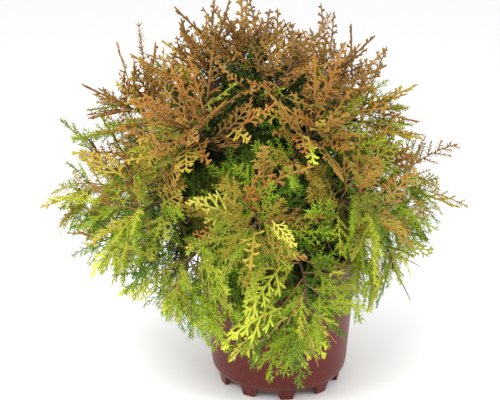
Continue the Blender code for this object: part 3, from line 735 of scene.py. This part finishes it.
def crown_layout(leaders):
    """All boughs and masses, in the order of the CAD's own list."""
    tip_of = {"skirt": skirt_tip, "side": side_tip, "upper": upper_tip}
    boughs, masses = [], []
    for name, ring in RINGS.items():
        for index in range(ring["count"]):
            side = outward(ring["first"] + 360.0 / ring["count"] * index)
            odd = index % 2
            start, carrier_radius = bough_start(name, side, odd, leaders)
            entry = side * ring["entry"] + np.array([ring["lean"], 0, ring["entry_z"]])
            heading = sloped(side, ring["slope"] + ring["odd_slope"] * odd)
            bough = bough_to(f"bough_{name}_{index + 1}", start, carrier_radius, entry, heading)
            stem = stem_past(bough, tip_of[name](side), ring["bow"], f"foliage_{name}_{index + 1}")
            boughs.append(bough)
            masses.append(Mass(name, stem, bough, ring["lift"]))
    for number, tip in enumerate(LEADER_TIPS):
        stem = stem_past(leaders[number], tip, TOP_BOW, f"foliage_top_{number + 1}")
        masses.append(Mass("top", stem, leaders[number], TOP_LIFT))
    for number, (carrier, share, entry, slope, tip) in enumerate(TOP_BOUGHS, start=1):
        leader, entry = leaders[carrier], np.array(entry)
        start = leader.at(share)
        heading = sloped(unit((entry - start) * np.array([1, 1, 0])), slope)
        bough = bough_to(f"bough_top_{number}", start, leader.radius_at(share), entry, heading)
        boughs.append(bough)
        stem = stem_past(bough, tip, TOP_BOW, f"foliage_top_{len(LEADER_TIPS) + number}")
        masses.append(Mass("top", stem, bough, TOP_LIFT))
    for number, mass in enumerate(masses):
        mass.number = number
    return boughs, masses


leaders = leader_limbs()
boughs, masses = crown_layout(leaders)
SITES = np.array([mass.stem.at(SITE_SHARE) for mass in masses])
print(len(leaders), "leaders,", len(boughs), "boughs,", len(masses), "masses")

# %% [markdown]
# ## Bark
# Arborvitae bark is thin and stringy, in long ridges that wander along the limb. Bump alone leaves
# a smooth outline, so the ridges are in the mesh: the radius swells where a few rectified sine
# waves peak. Half-whole wave counts keep the waves closed round the limb.


# %% Limbs with ridges
TRUNK_ROWS = 80
TRUNK_SIDES = 30
TRUNK_RELIEF = 0.14
BUTTRESSES = 5
BUTTRESS_SWELL = 0.10
LEADER_BARK = dict(step=0.002, sides=18, relief=0.16)
BOUGH_BARK = dict(step=0.003, sides=12, relief=0.14)
BARK_STOPS = [
    (0.32, (0.030, 0.015, 0.009)), (0.52, (0.115, 0.060, 0.035)), (0.74, (0.250, 0.160, 0.105))
]
WORN_BARK = (0.20, 0.15, 0.115, 1.0)


def ridges(length, sides, phase):
    """0 to 1 round and along a limb: |sin 2.5a'| + |sin 4.5a'|/2 + (1 + sin 9a')/4, a' drifting."""
    turn = turns(sides)
    along = length[:, None]
    first = np.abs(np.sin(2.5 * turn + 1.2 * np.sin(60 * along + phase)))
    second = np.abs(np.sin(4.5 * turn - 2.0 * np.sin(45 * along + 2 * phase))) / 2
    third = (1 + np.sin(9 * turn + 300 * along)) / 4
    return (first + second + third) / 2


def limb_bark(limb, phase, step, sides, relief):
    """A tube on a limb, whose radius is r (1 - relief/2 + relief x ridges)."""
    count = max(6, int(np.linalg.norm(limb.end - limb.start) / step))
    shares = np.linspace(0, 1, count)
    path, radii = limb.at(shares), limb.radius_at(shares)
    length = np.concatenate([[0], np.cumsum(np.linalg.norm(np.diff(path, axis=0), axis=1))])
    swell = 1 - relief / 2 + relief * ridges(length, sides, phase)
    return tubes(path[None], (radii[:, None] * swell)[None], sides, nose=0.3)


def trunk_bark():
    """The trunk, smoothed between stations, with low buttresses that fade up from the soil."""
    axis, radii = trunk_stations()
    z = np.linspace(axis[0, 2], axis[-1, 2], TRUNK_ROWS)
    path = trunk_at(z)
    kernel = np.ones(9) / 9
    for k in range(2):
        path[4:-4, k] = np.convolve(path[:, k], kernel, mode="valid")
    turn = turns(TRUNK_SIDES)
    fade = np.exp(-(z - z[0]) / FLARE_HEIGHT)[:, None]
    buttress = 1 + BUTTRESS_SWELL * fade * np.cos(BUTTRESSES * turn + 1)
    radius = np.interp(z, axis[:, 2], radii)[:, None] * buttress
    swell = 1 - TRUNK_RELIEF / 2 + TRUNK_RELIEF * ridges(z - z[0], TRUNK_SIDES, 0.4)
    return tubes(path[None], (radius * swell)[None], TRUNK_SIDES, nose=0.0)


def bark_finish():
    """Bark: browns drawn out along the limb by a stretched noise, and paler worn patches."""
    finish = Finish("stringy_bark", (0.110, 0.062, 0.038), 0.85)
    fibres = finish.noise(finish.stretched((260.0, 260.0, 30.0)), 1.0, 5.0)
    patches = finish.between(finish.noise(finish.place(), 26.0), 0.45, 0.75)
    strings = finish.ramp(fibres, BARK_STOPS)
    finish.set("Base Color", finish.mix(patches * 0.5, strings, WORN_BARK))
    finish.bump(fibres, 0.7, 0.0012)
    return finish.material


bark = bark_finish()
add_piece("trunk_bark", trunk_bark(), [bark], ["trunk"], corner=60)
for name, limbs, style in (("leader", leaders, LEADER_BARK), ("bough", boughs, BOUGH_BARK)):
    skins = joined([limb_bark(limb, k, **style) for k, limb in enumerate(limbs)])
    add_piece(f"{name}_bark", skins, [bark], [limb.name for limb in limbs], corner=60)

# %% [markdown]
# ## Templates for the sprays
# Young shoots carry soft needles in four rows, and grown shoots end in flat fans of tiny scales
# that fork again. Needle shoots and fans are nearly flat, and slim shoots have side axes all round.
# Coarse tufts of needles fill the shade. A few templates of each are worked out one unit long, and
# hundreds of copies are turned and scaled into place.

# %% Spray templates
TEMPLATES = 5
NEEDLES = (0.046, 0.125, 0.0130)
TUFT_NEEDLES = (0.085, 0.200, 0.024)
NEEDLE_SPREAD = math.radians(46)
SCALE_HALF_WIDTH = 0.024
FAN = (10, 0.46, (0.36, 0.68), 0.25, 0.5)
SHOOT = (10, 0.28, (0.5,), 0.9, 0.9)
AXIS_DEGREES = 46
AXIS_CLOSES = 14
AXIS_SHORTENS = 0.78
NEEDLE_SHORTENS = 0.35
FORK_SPREAD = math.radians(40)
FORK_SHARE = 0.46
BEAD_WIDTHS = (1.12, 0.86)


def side_axes(rule, count, longest, proud=0.25, first=0.08, last=0.90):
    """Start, direction and length of the axes on both sides of a spray's own axis."""
    share = np.linspace(first, last, count) + rule.uniform(-0.015, 0.015, count)
    side = np.where(np.arange(count) % 2, 1.0, -1.0)
    angle = side * np.radians(AXIS_DEGREES - AXIS_CLOSES * share + rule.uniform(-10, 10, count))
    length = longest * (1 - AXIS_SHORTENS * share) * rule.uniform(0.65, 1.20, count)
    start = np.stack([share, 0 * share, 0 * share], -1)
    direction = np.stack([np.cos(angle), np.sin(angle), rule.uniform(-proud, proud, count)], -1)
    return start, unit(direction), length


def spikes(roots, headings, across, lengths, half_width):
    """Four-sided needles: three corners round the root, root + length x heading at the tip."""
    lift = np.cross(headings, across)
    corners = [roots + across * half_width, roots - across * half_width, roots + lift * half_width]
    points = np.stack(corners + [roots + headings * lengths[:, None]], axis=1)
    return copies(points, [(0, 1, 2), (0, 2, 3), (2, 1, 3), (1, 0, 3)])


def needles_on(start, direction, length, rule, size):
    """Needles along one axis, in crossed pairs: two in the spray's plane, then two out of it."""
    step, longest, half_width = size
    share = np.arange(step * 0.6, length, step)
    flat = unit(np.cross([0.0, 0.0, 1.0], direction))
    proud = np.cross(direction, flat)
    pair = (np.arange(len(share)) % 2)[:, None]
    side = flat * (1 - pair) + proud * pair
    slope = NEEDLE_SPREAD + rule.uniform(-0.15, 0.15, (2, len(share), 1))
    headings = [direction * np.cos(slope[0]) + side * np.sin(slope[0])]
    headings.append(direction * np.cos(slope[1]) - side * np.sin(slope[1]))
    headings = np.concatenate(headings + [direction[None]])
    roots = start + direction * np.concatenate([share, share, [length * 0.97]])[:, None]
    lengths = longest * (1 - NEEDLE_SHORTENS * np.append(np.tile(share, 2) / length, 1))
    across = unit(np.cross(headings, np.cross(flat, headings) + 1e-6))
    lengths = lengths * rule.uniform(0.8, 1.15, len(roots))
    return spikes(roots, headings, across, lengths, half_width)


def needle_spray(rule, size):
    """A soft shoot: a slim axis, eight side axes, and needles on them all."""
    start, direction, length = side_axes(rule, 8, 0.44)
    x = np.array([1.0, 0.0, 0.0])
    path = np.linspace(0, 1, 4)[None, :, None] * x
    axis = tubes(path, np.array([[0.010, 0.009, 0.007, 0.004]]), 3)
    across = unit(np.cross(UP, direction))
    parts = [axis, spikes(start, direction, across, length, 0.007)]
    parts.append(needles_on(0 * x, x, 1.0, rule, size))
    parts += [needles_on(*values, rule, size) for values in zip(start, direction, length)]
    return joined(parts)


def scaly(start, direction, length, stations):
    """Branchlets of scales: blunt tubes that swell at every second station."""
    share = np.linspace(0, 1, stations)
    paths = start[:, None] + direction[:, None] * length[:, None, None] * share[:, None]
    beads = np.where(np.arange(stations) % 2, *BEAD_WIDTHS) * (1 - 0.25 * share)
    return tubes(paths, SCALE_HALF_WIDTH * beads * np.ones((len(start), 1)), 4, nose=0.9)


def scale_spray(rule, count, longest, forks, proud, flatness):
    """A fan or a slim shoot: an axis, count side axes, and short ones where those fork."""
    x = np.array([[1.0, 0.0, 0.0]])
    start, direction, length = side_axes(rule, count, longest, proud)
    parts = [scaly(0 * x, x, np.array([1.0]), 11), scaly(start, direction, length, 5)]
    flat = unit(np.cross(UP, direction))
    for order, share in enumerate(forks):
        side = np.where(np.arange(len(start)) % 2, -1.0, 1.0) * (1 if order % 2 else -1)
        lean = FORK_SPREAD + rule.uniform(-0.1, 0.1, len(start))
        heading = direction * np.cos(lean)[:, None] + flat * (side * np.sin(lean))[:, None]
        small = length * FORK_SHARE * (1.1 - share) * rule.uniform(0.85, 1.15, len(start)) + 0.03
        parts.append(scaly(start + direction * (length * share)[:, None], heading, small, 2))
    points, faces = joined(parts)
    return points * np.array([1, 1, flatness]), faces


TEMPLATE_OF = {
    "needles": [needle_spray(np.random.default_rng(20 + k), NEEDLES) for k in range(TEMPLATES)],
    "tufts": [needle_spray(np.random.default_rng(30 + k), TUFT_NEEDLES) for k in range(TEMPLATES)],
    "fans": [scale_spray(np.random.default_rng(40 + k), *FAN) for k in range(TEMPLATES)],
    "shoots": [scale_spray(np.random.default_rng(50 + k), *SHOOT) for k in range(TEMPLATES)],
}
for kind, templates in TEMPLATE_OF.items():
    print(kind, "template faces:", [len(faces) for _, faces in templates])

# %% [markdown]
# ## Growing the masses
# Each mass grows by the CAD's rule with more twigs: a golden-angle turn from twig to twig, a spread
# that narrows towards the tip, and sprays on both sides of every twig. A spray that would leave the
# crown's egg, its mass's space or touch the pot is shortened, and skipped if that isn't enough.
# Every third twig may stick out of the egg, so that single shoots stand against the sky. The boughs
# carry tufts.

# %% The growing rule
TWIGS = {"skirt": 17, "side": 15, "upper": 12, "top": 11}
TWIG_FROM = 0.03
TWIG_TO = 0.95
TWIG_SPREAD = math.radians(40)
TWIG_BACK = math.radians(45)
TWIG_LENGTH = 0.080
TWIG_SHORTENS = 0.45
TWIG_LIFT = 0.35
TWIG_RADIUS = 0.0012
TWIG_TIP_RADIUS = 0.0006
TURN_DRIFT = 0.3
SPREAD_RANGE = (0.90, 1.10)
TWIG_RANGE = (0.85, 1.15)
SPRAY_RANGE = (0.82, 1.10)
SPRAY_ROLL = 0.7
SPRAY_PLACES = ((0.20, 46.0, 0.84), (0.38, -44.0, 0.90), (0.56, 40.0, 0.92), (0.76, -38.0, 0.92),
                (0.96, 3.0, 1.0))
BOUGH_PLACES = (0.34, 0.45, 0.56, 0.67, 0.78, 0.88, 0.97)
BOUGH_SPRAY = 0.078
# Sprays whose tip is nearer the crown's middle than this share of their mass's tip may take painted
# shade.
PAINTED_SHADE_REACH = 0.74
TIP_TURN = math.radians(23)
TIP_SPRAY = SPRAY_LENGTH * (1 - SPRAY_ROOT)
SHRINKS = (1.0, 0.86, 0.72, 0.58, 0.45)
CELL_OVERHANG = 0.036
POT_CLEAR = 0.003
LEAST_RADIUS = 0.09
LIP_OVERHANG = RIM_RADIUS - MOUTH_RADIUS
FIT_SHARES = np.array([0.4, 0.7, 1.0])[:, None]
SIDE_TIP_SHARE = 0.8
ANGLE_DRIFT = 6
BOUGH_LEAN = 0.7
NEARLY_OPPOSITE = math.pi * 0.9
SAG = {"skirt": 0.24, "side": 0.14, "upper": -0.04, "top": -0.10}


# A spray's root, its axis, a direction across its plane, its length, sag and looks.
Spray = namedtuple("Spray", "start along lean length sag kind tint template")


def level_across(heading):
    """A level direction square to heading, or +X where heading is nearly upright."""
    across = np.cross(heading, UP)
    size = np.linalg.norm(across)
    return across / size if size > 0.2 else np.array([1.0, 0.0, 0.0])


def in_crown(points, inset):
    """The egg: level^2 + (height / rise or fall)^2 up to inset^2, falling deeper in front."""
    x, y, height = points[:, 0], points[:, 1], points[:, 2] - CROWN_Z
    level = np.hypot(x / CROWN_RADIUS, y / CROWN_DEPTH_RADIUS)
    front = np.maximum(0.0, -y) / (np.hypot(x - POT_X, y) + GAP)
    fall = CROWN_FALL + (CROWN_FRONT_FALL - CROWN_FALL) * front**4
    return np.hypot(level, height / np.where(height > 0, CROWN_RISE, fall)) <= inset


def off_pot(points):
    """True for points above the pot, or outside its wall and lip."""
    away = np.hypot(points[:, 0] - POT_X, points[:, 1])
    wide = np.maximum(wall_radius(points[:, 2]), LEAST_RADIUS) + POT_CLEAR + LIP_OVERHANG
    return (points[:, 2] > POT_HEIGHT + POT_CLEAR) | (away > wide)


def in_space(mass, points, inset):
    """True where every point is in the crown, near enough to its own mass, and clear of the pot."""
    apart = np.linalg.norm(points[:, None] - SITES, axis=2)
    own = apart[:, mass.number].copy()
    apart[:, mass.number] = np.inf
    near = own <= apart.min(axis=1) + CELL_OVERHANG
    return bool((near & in_crown(points, inset) & off_pot(points)).all())


def longest_fit(mass, start, along, length, sag, inset=INSET):
    """The largest of a few lengths whose sagging axis stays in the mass's space, or 0."""
    for shrink in SHRINKS:
        size = length * shrink
        sunk = UP * sag * size * FIT_SHARES**2
        if in_space(mass, start + along * size * FIT_SHARES - sunk, inset):
            return size
    return 0.0


HEIGHT_FROM, HEIGHT_SPAN = 0.12, 0.40
REACH_FROM, REACH_SPAN = 0.35, 0.6
SCALY_FROM, SCALY_SPAN = 0.50, 0.28
SCALY_LEAST, SCALY_MORE = 0.12, 0.80
SLIM_FROM, SLIM_RISE = 0.30, 1.7
RIPE_HEIGHT, RIPE_REACH, RIPE_SPREAD = 0.62, 0.34, 0.14
REACH_COUNTS = 2.5
PAINTED_SHADE_CHANCE = 0.75


def share_above(value, start, span):
    """0 up to start, 1 from start + span on, and even between them."""
    return np.clip((value - start) / span, 0, 1)


def spray_looks(mass, tip, inner, rule):
    """A spray's kind, how ripe it is and if it takes painted shade: scaly kinds where it is high up.
    """
    height = share_above(tip[2], HEIGHT_FROM, HEIGHT_SPAN)
    reach = np.linalg.norm((tip - CROWN_MIDDLE) / (CROWN_RADIUS, CROWN_DEPTH_RADIUS, CROWN_RISE))
    wide = share_above(reach, REACH_FROM, REACH_SPAN)
    chance = SCALY_LEAST + SCALY_MORE * share_above(height, SCALY_FROM, SCALY_SPAN)
    scaly_kind = rule.random() < chance
    slim = rule.random() < (height - SLIM_FROM) * SLIM_RISE
    ripe = RIPE_HEIGHT * height + RIPE_REACH * wide * min(1.0, height * REACH_COUNTS)
    ripe = ripe + rule.gauss(0, RIPE_SPREAD)
    # Tufts always, and most sprays deep in the crown, take darker greens as painted shade.
    if inner:
        return "tufts", ripe, True
    full = np.linalg.norm(mass.stem.end + mass.stem.heading(1.0) * TIP_SPRAY - CROWN_MIDDLE)
    if np.linalg.norm(tip - CROWN_MIDDLE) < PAINTED_SHADE_REACH * full and rule.random() < PAINTED_SHADE_CHANCE:
        return "needles", ripe, True
    if not scaly_kind:
        return "needles", ripe, False
    return ("shoots" if slim else "fans"), ripe, False


FAN_TINTS = ("bright_lime", "yellow_green", "bright_lime", "yellow_green", "gold", "olive_green",
             "bronze", "gold", "copper", "bronze", "brown")
NEEDLE_TINTS = ("lime", "leaf_green", "lime", "yellow_green", "mid_green", "lime", "gold",
                "olive_green", "tan", "bronze")
# Painted shade: darker greens for needle sprays deep in the crown and for the tufts on the boughs.
PAINTED_SHADE_TINTS = ("shade_green", "leaf_green", "leaf_green", "dark_olive")
PAINTED_SHADE_TUFT_TINTS = ("deep_green", "deep_green", "shade_green")
BRIGHT_BELOW = 0.6
BRIGHT_SHARE = 0.13


def dealt_tint(kind, ripe, takes_painted_shade, rule):
    """A painted-shade tint for sprays deep in the crown, or a tint along its kind's row by how ripe
    the spray is.
    """
    if takes_painted_shade:
        return rule.choice(PAINTED_SHADE_TINTS if kind == "needles" else PAINTED_SHADE_TUFT_TINTS)
    if ripe < BRIGHT_BELOW and rule.random() < BRIGHT_SHARE:
        return "bright_yellow" if kind == "fans" else "bright_lime"
    tints = NEEDLE_TINTS if kind == "needles" else FAN_TINTS
    return tints[int(np.clip(ripe * len(tints), 0, len(tints) - 1))]


def add_spray(sprays, mass, start, along, lean, length, rule, inner=False, tip=False, inset=INSET):
    sag = SAG[mass.ring] * rule.uniform(0.5, 1.5) * (not tip)
    length = length if tip else longest_fit(mass, start, along, length, sag, inset)
    if not length:
        return
    kind, ripe, takes_painted_shade = spray_looks(mass, start + along * length, inner, rule)
    if tip and mass.ring != "skirt":
        kind = "shoots"
    tint = dealt_tint(kind, ripe, takes_painted_shade, rule)
    sprays.append(Spray(start, along, lean, length, sag, kind, tint, rule.randrange(TEMPLATES)))


def facing(along, centre, roll):
    """Across a spray whose flat side faces out from the crown's middle, then rolled."""
    out = unit(centre - CROWN_MIDDLE)
    return turned_about(unit(np.cross(out, along)), roll, along)


def grow(mass, rule):
    """The mass's twigs as (path, radii), and its sprays."""
    stem, twigs, sprays = mass.stem, [], []
    heading = stem.heading(1.0)
    across = level_across(heading)
    whole = mass.ring != "skirt" or mass.number == 0
    add_spray(sprays, mass, stem.end, heading, across, TIP_SPRAY, rule, tip=whole)
    for turn in (-TIP_TURN, TIP_TURN):
        along = turned_about(heading, turn, unit(np.cross(across, heading)))
        free = mass.ring in ("upper", "top")
        add_spray(sprays, mass, stem.end, along, across, TIP_SPRAY * SIDE_TIP_SHARE, rule, tip=free)
    places = SPRAY_PLACES[1:] if mass.ring == "top" else SPRAY_PLACES
    for index in range(TWIGS[mass.ring]):
        share = TWIG_FROM + (TWIG_TO - TWIG_FROM) * index / (TWIGS[mass.ring] - 1)
        heading = stem.heading(share)
        turn = index * GOLDEN_ANGLE + rule.uniform(-TURN_DRIFT, TURN_DRIFT)
        side = turned_about(level_across(heading), turn, heading)
        spread = (TWIG_SPREAD + TWIG_BACK * (1 - share)) * rule.uniform(*SPREAD_RANGE)
        lifted = UP * mass.lift * TWIG_LIFT
        along = unit(heading * math.cos(spread) + side * math.sin(spread) + lifted)
        full = TWIG_LENGTH * (1 - TWIG_SHORTENS * share) * rule.uniform(*TWIG_RANGE)
        start = stem.at(share)
        inset = OUTLIER if index % OUTLIER_EVERY == 1 else INSET
        length = longest_fit(mass, start, along, full, 0.0, inset)
        if not length:
            continue
        twigs.append((start, along, length))
        across = unit(np.cross(unit(start + along * length - CROWN_MIDDLE), along))
        normal = np.cross(along, across)
        for place, angle, size in places:
            angle = math.radians(angle + rule.uniform(-ANGLE_DRIFT, ANGLE_DRIFT))
            away = turned_about(along, angle, normal)
            root = start + along * length * place
            lean = facing(away, root + away * SPRAY_LENGTH, rule.uniform(-SPRAY_ROLL, SPRAY_ROLL))
            limit = inset if place > 0.9 and mass.ring != "skirt" else INSET
            size = SPRAY_LENGTH * size * rule.uniform(*SPRAY_RANGE)
            add_spray(sprays, mass, root, away, lean, size, rule, inset=limit)
    for index, share in enumerate(BOUGH_PLACES):
        heading = mass.limb.heading(share)
        side = turned_about(level_across(heading), index * GOLDEN_ANGLE, heading)
        for way in (side, turned_about(side, NEARLY_OPPOSITE, heading)):
            along = unit(heading * BOUGH_LEAN + way)
            lean = unit(np.cross(along, heading))
            add_spray(sprays, mass, mass.limb.at(share), along, lean, BOUGH_SPRAY, rule, inner=True)
    return twigs, sprays


grown = [grow(mass, Random(SEED * 1000 + mass.number)) for mass in masses]
all_sprays = [spray for _, sprays in grown for spray in sprays]
print(len(all_sprays), "sprays,", sum(spray.kind == "fans" for spray in all_sprays), "of them fans")

# %% [markdown]
# ## Tints
# In cold weather the outer tips turn bronze while shaded and lower shoots stay lime. Each spray
# takes one plain colour, dealt by how high and how far out it stands, with a little chance. Plain
# colours also stay true when the model is exported.
# Sprays deep in the crown and the tufts on the boughs take dark greens. They stay green as shaded
# shoots do, and their darkness is painted shade.

# %% Plain colours
# The deep green, shade green and dark olive tints are darkened as painted shade for the inside of the
# crown.
TINTS = {
    "deep_green": (0.030, 0.048, 0.008),
    "dark_olive": (0.115, 0.105, 0.017),
    "leaf_green": (0.125, 0.255, 0.020),
    "shade_green": (0.075, 0.115, 0.014),
    "mid_green": (0.150, 0.250, 0.019),
    "lime": (0.330, 0.450, 0.028),
    "bright_lime": (0.560, 0.610, 0.055),
    "yellow_green": (0.420, 0.450, 0.040),
    "bright_yellow": (0.560, 0.520, 0.080),
    "olive_green": (0.260, 0.280, 0.032),
    "gold": (0.420, 0.315, 0.042),
    "tan": (0.450, 0.265, 0.054),
    "copper": (0.335, 0.152, 0.030),
    "bronze": (0.345, 0.195, 0.040),
    "brown": (0.200, 0.105, 0.024),
}
TINT_NAMES = list(TINTS)


def leaf_finish(name):
    """A plain leaf: one colour, with the weak, wide shine of a waxy scale."""
    finish = Finish(name + "_leaf", TINTS[name], 0.75)
    finish.set("Specular IOR Level", 0.15)
    return finish.material


leaf_finishes = [leaf_finish(name) for name in TINT_NAMES]

# %% [markdown]
# ## Sprays into pieces
# Copies are planted by matrix products. The odd and the even masses of a ring make separate pieces
# of each kind, so that each stays a size that exports whole, and all tufts make one. Each piece of
# needles stands for the masses that it belongs to.

# %% Plant the sprays
SLOT_OF = {"skirt": "lime_foliage", "side": "green_foliage",
           "upper": "gold_foliage", "top": "bronze_foliage"}
HANG = 0.0015
HANG_DEPTH = 0.035


def pushed_off_pot(points):
    """Foliage that would cut into the wall lies on it: its points move out from the axis."""
    x, y, z = points[..., 0] - POT_X, points[..., 1], points[..., 2]
    away = np.hypot(x, y)
    lip = LIP_OVERHANG * (z > POT_HEIGHT - 2 * RIM_DROP)
    wide = np.maximum(wall_radius(z), LEAST_RADIUS) + HANG + lip
    cuts = (z < POT_HEIGHT + HANG) & (away < wide) & (away > wide - HANG_DEPTH)
    grow_by = np.where(cuts, wide / away, 1.0)
    return np.stack([x * grow_by + POT_X, y * grow_by, z], -1)


def planted(template, sprays):
    """Copies of a template: start + L (x along + y lean + z normal) - sag L x^2 up."""
    points, faces = template
    start, along, lean, length, sag = (np.array(values) for values in list(zip(*sprays))[:5])
    length, sag = length[:, None, None], sag[:, None]
    basis = np.stack([along, lean, np.cross(along, lean)], axis=1)
    placed = start[:, None] + length * np.einsum("vi,nij->nvj", points, basis)
    placed[..., 2] -= length[..., 0] * sag * points[:, 0] ** 2
    tints = np.repeat([TINT_NAMES.index(s.tint) for s in sprays], len(faces))
    return copies(pushed_off_pot(placed), faces), tints


def add_sprays(name, kind, sprays, replaced):
    """One piece of all sprays of a kind, with a finish for each tint that it uses."""
    made = []
    for number, template in enumerate(TEMPLATE_OF[kind]):
        chosen = [spray for spray in sprays if spray.kind == kind and spray.template == number]
        if chosen:
            made.append(planted(template, chosen))
    if not made:
        return
    surfaces, tints = zip(*made)
    used, tints = np.unique(np.concatenate(tints), return_inverse=True)
    finishes = [leaf_finishes[number] for number in used]
    add_piece(name, joined(surfaces), finishes, replaced, tints=tints)


for ring, slot in SLOT_OF.items():
    for half in (0, 1):
        members = [mass for mass in masses if mass.ring == ring and mass.number % 2 == half]
        sprays = [spray for mass in members for spray in grown[mass.number][1]]
        nodes = [mass.stem.name for mass in members]
        add_sprays(f"{ring}_needles_{half + 1}", "needles", sprays, nodes)
        for kind in ("fans", "shoots"):
            add_sprays(f"{ring}_{kind}_{half + 1}", kind, sprays, ())
# The tufts on the boughs are all dark greens: painted shade for the inside of the crown.
add_sprays("inner_tufts_painted_shade", "tufts", all_sprays, ())

# %% [markdown]
# ## Stems and twigs
# The stems that carry on the boughs are brown, and the thinnest twigs are orange-tan to green. They
# show only in the gaps, so five sides are enough, and one plain colour for each twig.

# %% Twigs
TWIG_TINTS = (("brown_twig", (0.085, 0.042, 0.022)), ("tan_twig", (0.260, 0.130, 0.045)),
              ("green_twig", (0.150, 0.160, 0.030)))


TWIG_SIDES = 5
TWIG_BOW = 0.03
STEM_SIDES = 7
BROWN_ABOVE = 0.36
GREEN_EVERY = 3


def stem_tubes():
    """The stems of all masses, in twelve stations each."""
    shares = np.linspace(0, 1, 12)
    paths = np.array([mass.stem.at(shares) for mass in masses])
    return tubes(paths, np.array([mass.stem.radius_at(shares) for mass in masses]), STEM_SIDES)


def twig_tubes(start, along, length):
    """Straight twigs with a slight bow upwards, and a radius that tapers along them."""
    share = np.linspace(0, 1, 6)
    length = length[:, None, None]
    bow = length * TWIG_BOW * np.sin(math.pi * share)[:, None] * UP
    paths = start[:, None] + along[:, None] * length * share[:, None] + bow
    radii = TWIG_RADIUS + (TWIG_TIP_RADIUS - TWIG_RADIUS) * share
    return tubes(paths, radii * np.ones((len(start), 1)), TWIG_SIDES)


def twig_tints(heights, faces):
    """Brown twigs high up, tan ones below and every third green, in the order of tubes' faces."""
    tint = np.where(heights > BROWN_ABOVE, 0, 1 + (np.arange(len(heights)) % GREEN_EVERY == 0))
    wall = len(faces) // len(heights) - 2 * TWIG_SIDES
    runs = (wall // 2, wall // 2, TWIG_SIDES, TWIG_SIDES)
    return np.concatenate([np.repeat(tint, run) for run in runs])


starts, ways, lengths = (
    np.array(values) for values in zip(*(twig for found, _ in grown for twig in found))
)
stems, twigs = stem_tubes(), twig_tubes(starts, ways, lengths)
tints = np.append(np.zeros(len(stems[1]), int), twig_tints(starts[:, 2], twigs[1]))
twig_finishes = [Finish(name, colour, 0.75).material for name, colour in TWIG_TINTS]
add_piece("twigs", joined([stems, twigs]), twig_finishes, tints=tints, corner=80)

# %% [markdown]
# ## Camera, light and floor
# The plant was photographed from a little above, far enough away for a long lens, on plain white.
# Two tall soft boxes give the pale streaks on the pot's sides, and a broad light above the camera
# the rest.

# %% The studio
CAMERA_BACK = 1.371
CAMERA_HEIGHT = 0.673
CAMERA_DOWN = math.radians(16.4)
CAMERA_LENS = 72.0
SENSOR = 36.0
FLOOR_HALF = 15.0
FLOOR_SINK = 0.0002
LIGHTS = (
    ("high_front", (-0.5, -1.5, 1.9), (0.0, 0.0, 0.3), 1.2, 0.9, 38.0),
    ("left_box", (-1.3, -0.5, 0.5), (0.0, 0.0, 0.2), 0.35, 1.1, 9.0),
    ("right_box", (1.4, -0.4, 0.5), (0.0, 0.0, 0.2), 0.35, 1.1, 9.0),
)


def add_camera():
    data = bpy.data.cameras.new("camera")
    data.lens = CAMERA_LENS
    data.sensor_width = SENSOR
    camera = linked("camera", data)
    camera.location = Vector(ORIGIN) + Vector((0, -CAMERA_BACK, CAMERA_HEIGHT))
    camera.rotation_euler = (math.pi / 2 - CAMERA_DOWN, 0, 0)
    bpy.context.scene.camera = camera


def add_light(name, place, target, width, height, power):
    data = bpy.data.lights.new(name, "AREA")
    data.shape = "RECTANGLE"
    data.size, data.size_y, data.energy = width, height, power
    light = linked(name, data)
    light.location = place
    light.rotation_euler = (Vector(target) - Vector(place)).to_track_quat("-Z", "Y").to_euler()


def add_floor():
    corners = np.array([(-1, -1, 0), (1, -1, 0), (1, 1, 0), (-1, 1, 0)]) * FLOOR_HALF
    corners = corners - UP * FLOOR_SINK
    mesh = mesh_of("floor", corners - ORIGIN, np.array([(0, 1, 2), (0, 2, 3)]))
    mesh.materials.append(Finish("pale_floor", (0.96, 0.96, 0.96), 0.8).material)
    floor = linked("floor", mesh)


def set_world():
    world = bpy.data.worlds.new("white_room")
    world.use_nodes = True
    background = world.node_tree.nodes["Background"]
    background.inputs["Color"].default_value = (1, 1, 1, 1)
    background.inputs["Strength"].default_value = 1.0
    bpy.context.scene.world = world


add_camera()
add_floor()
set_world()
for light in LIGHTS:
    add_light(*light)
bpy.context.scene.view_settings.view_transform = "Standard"
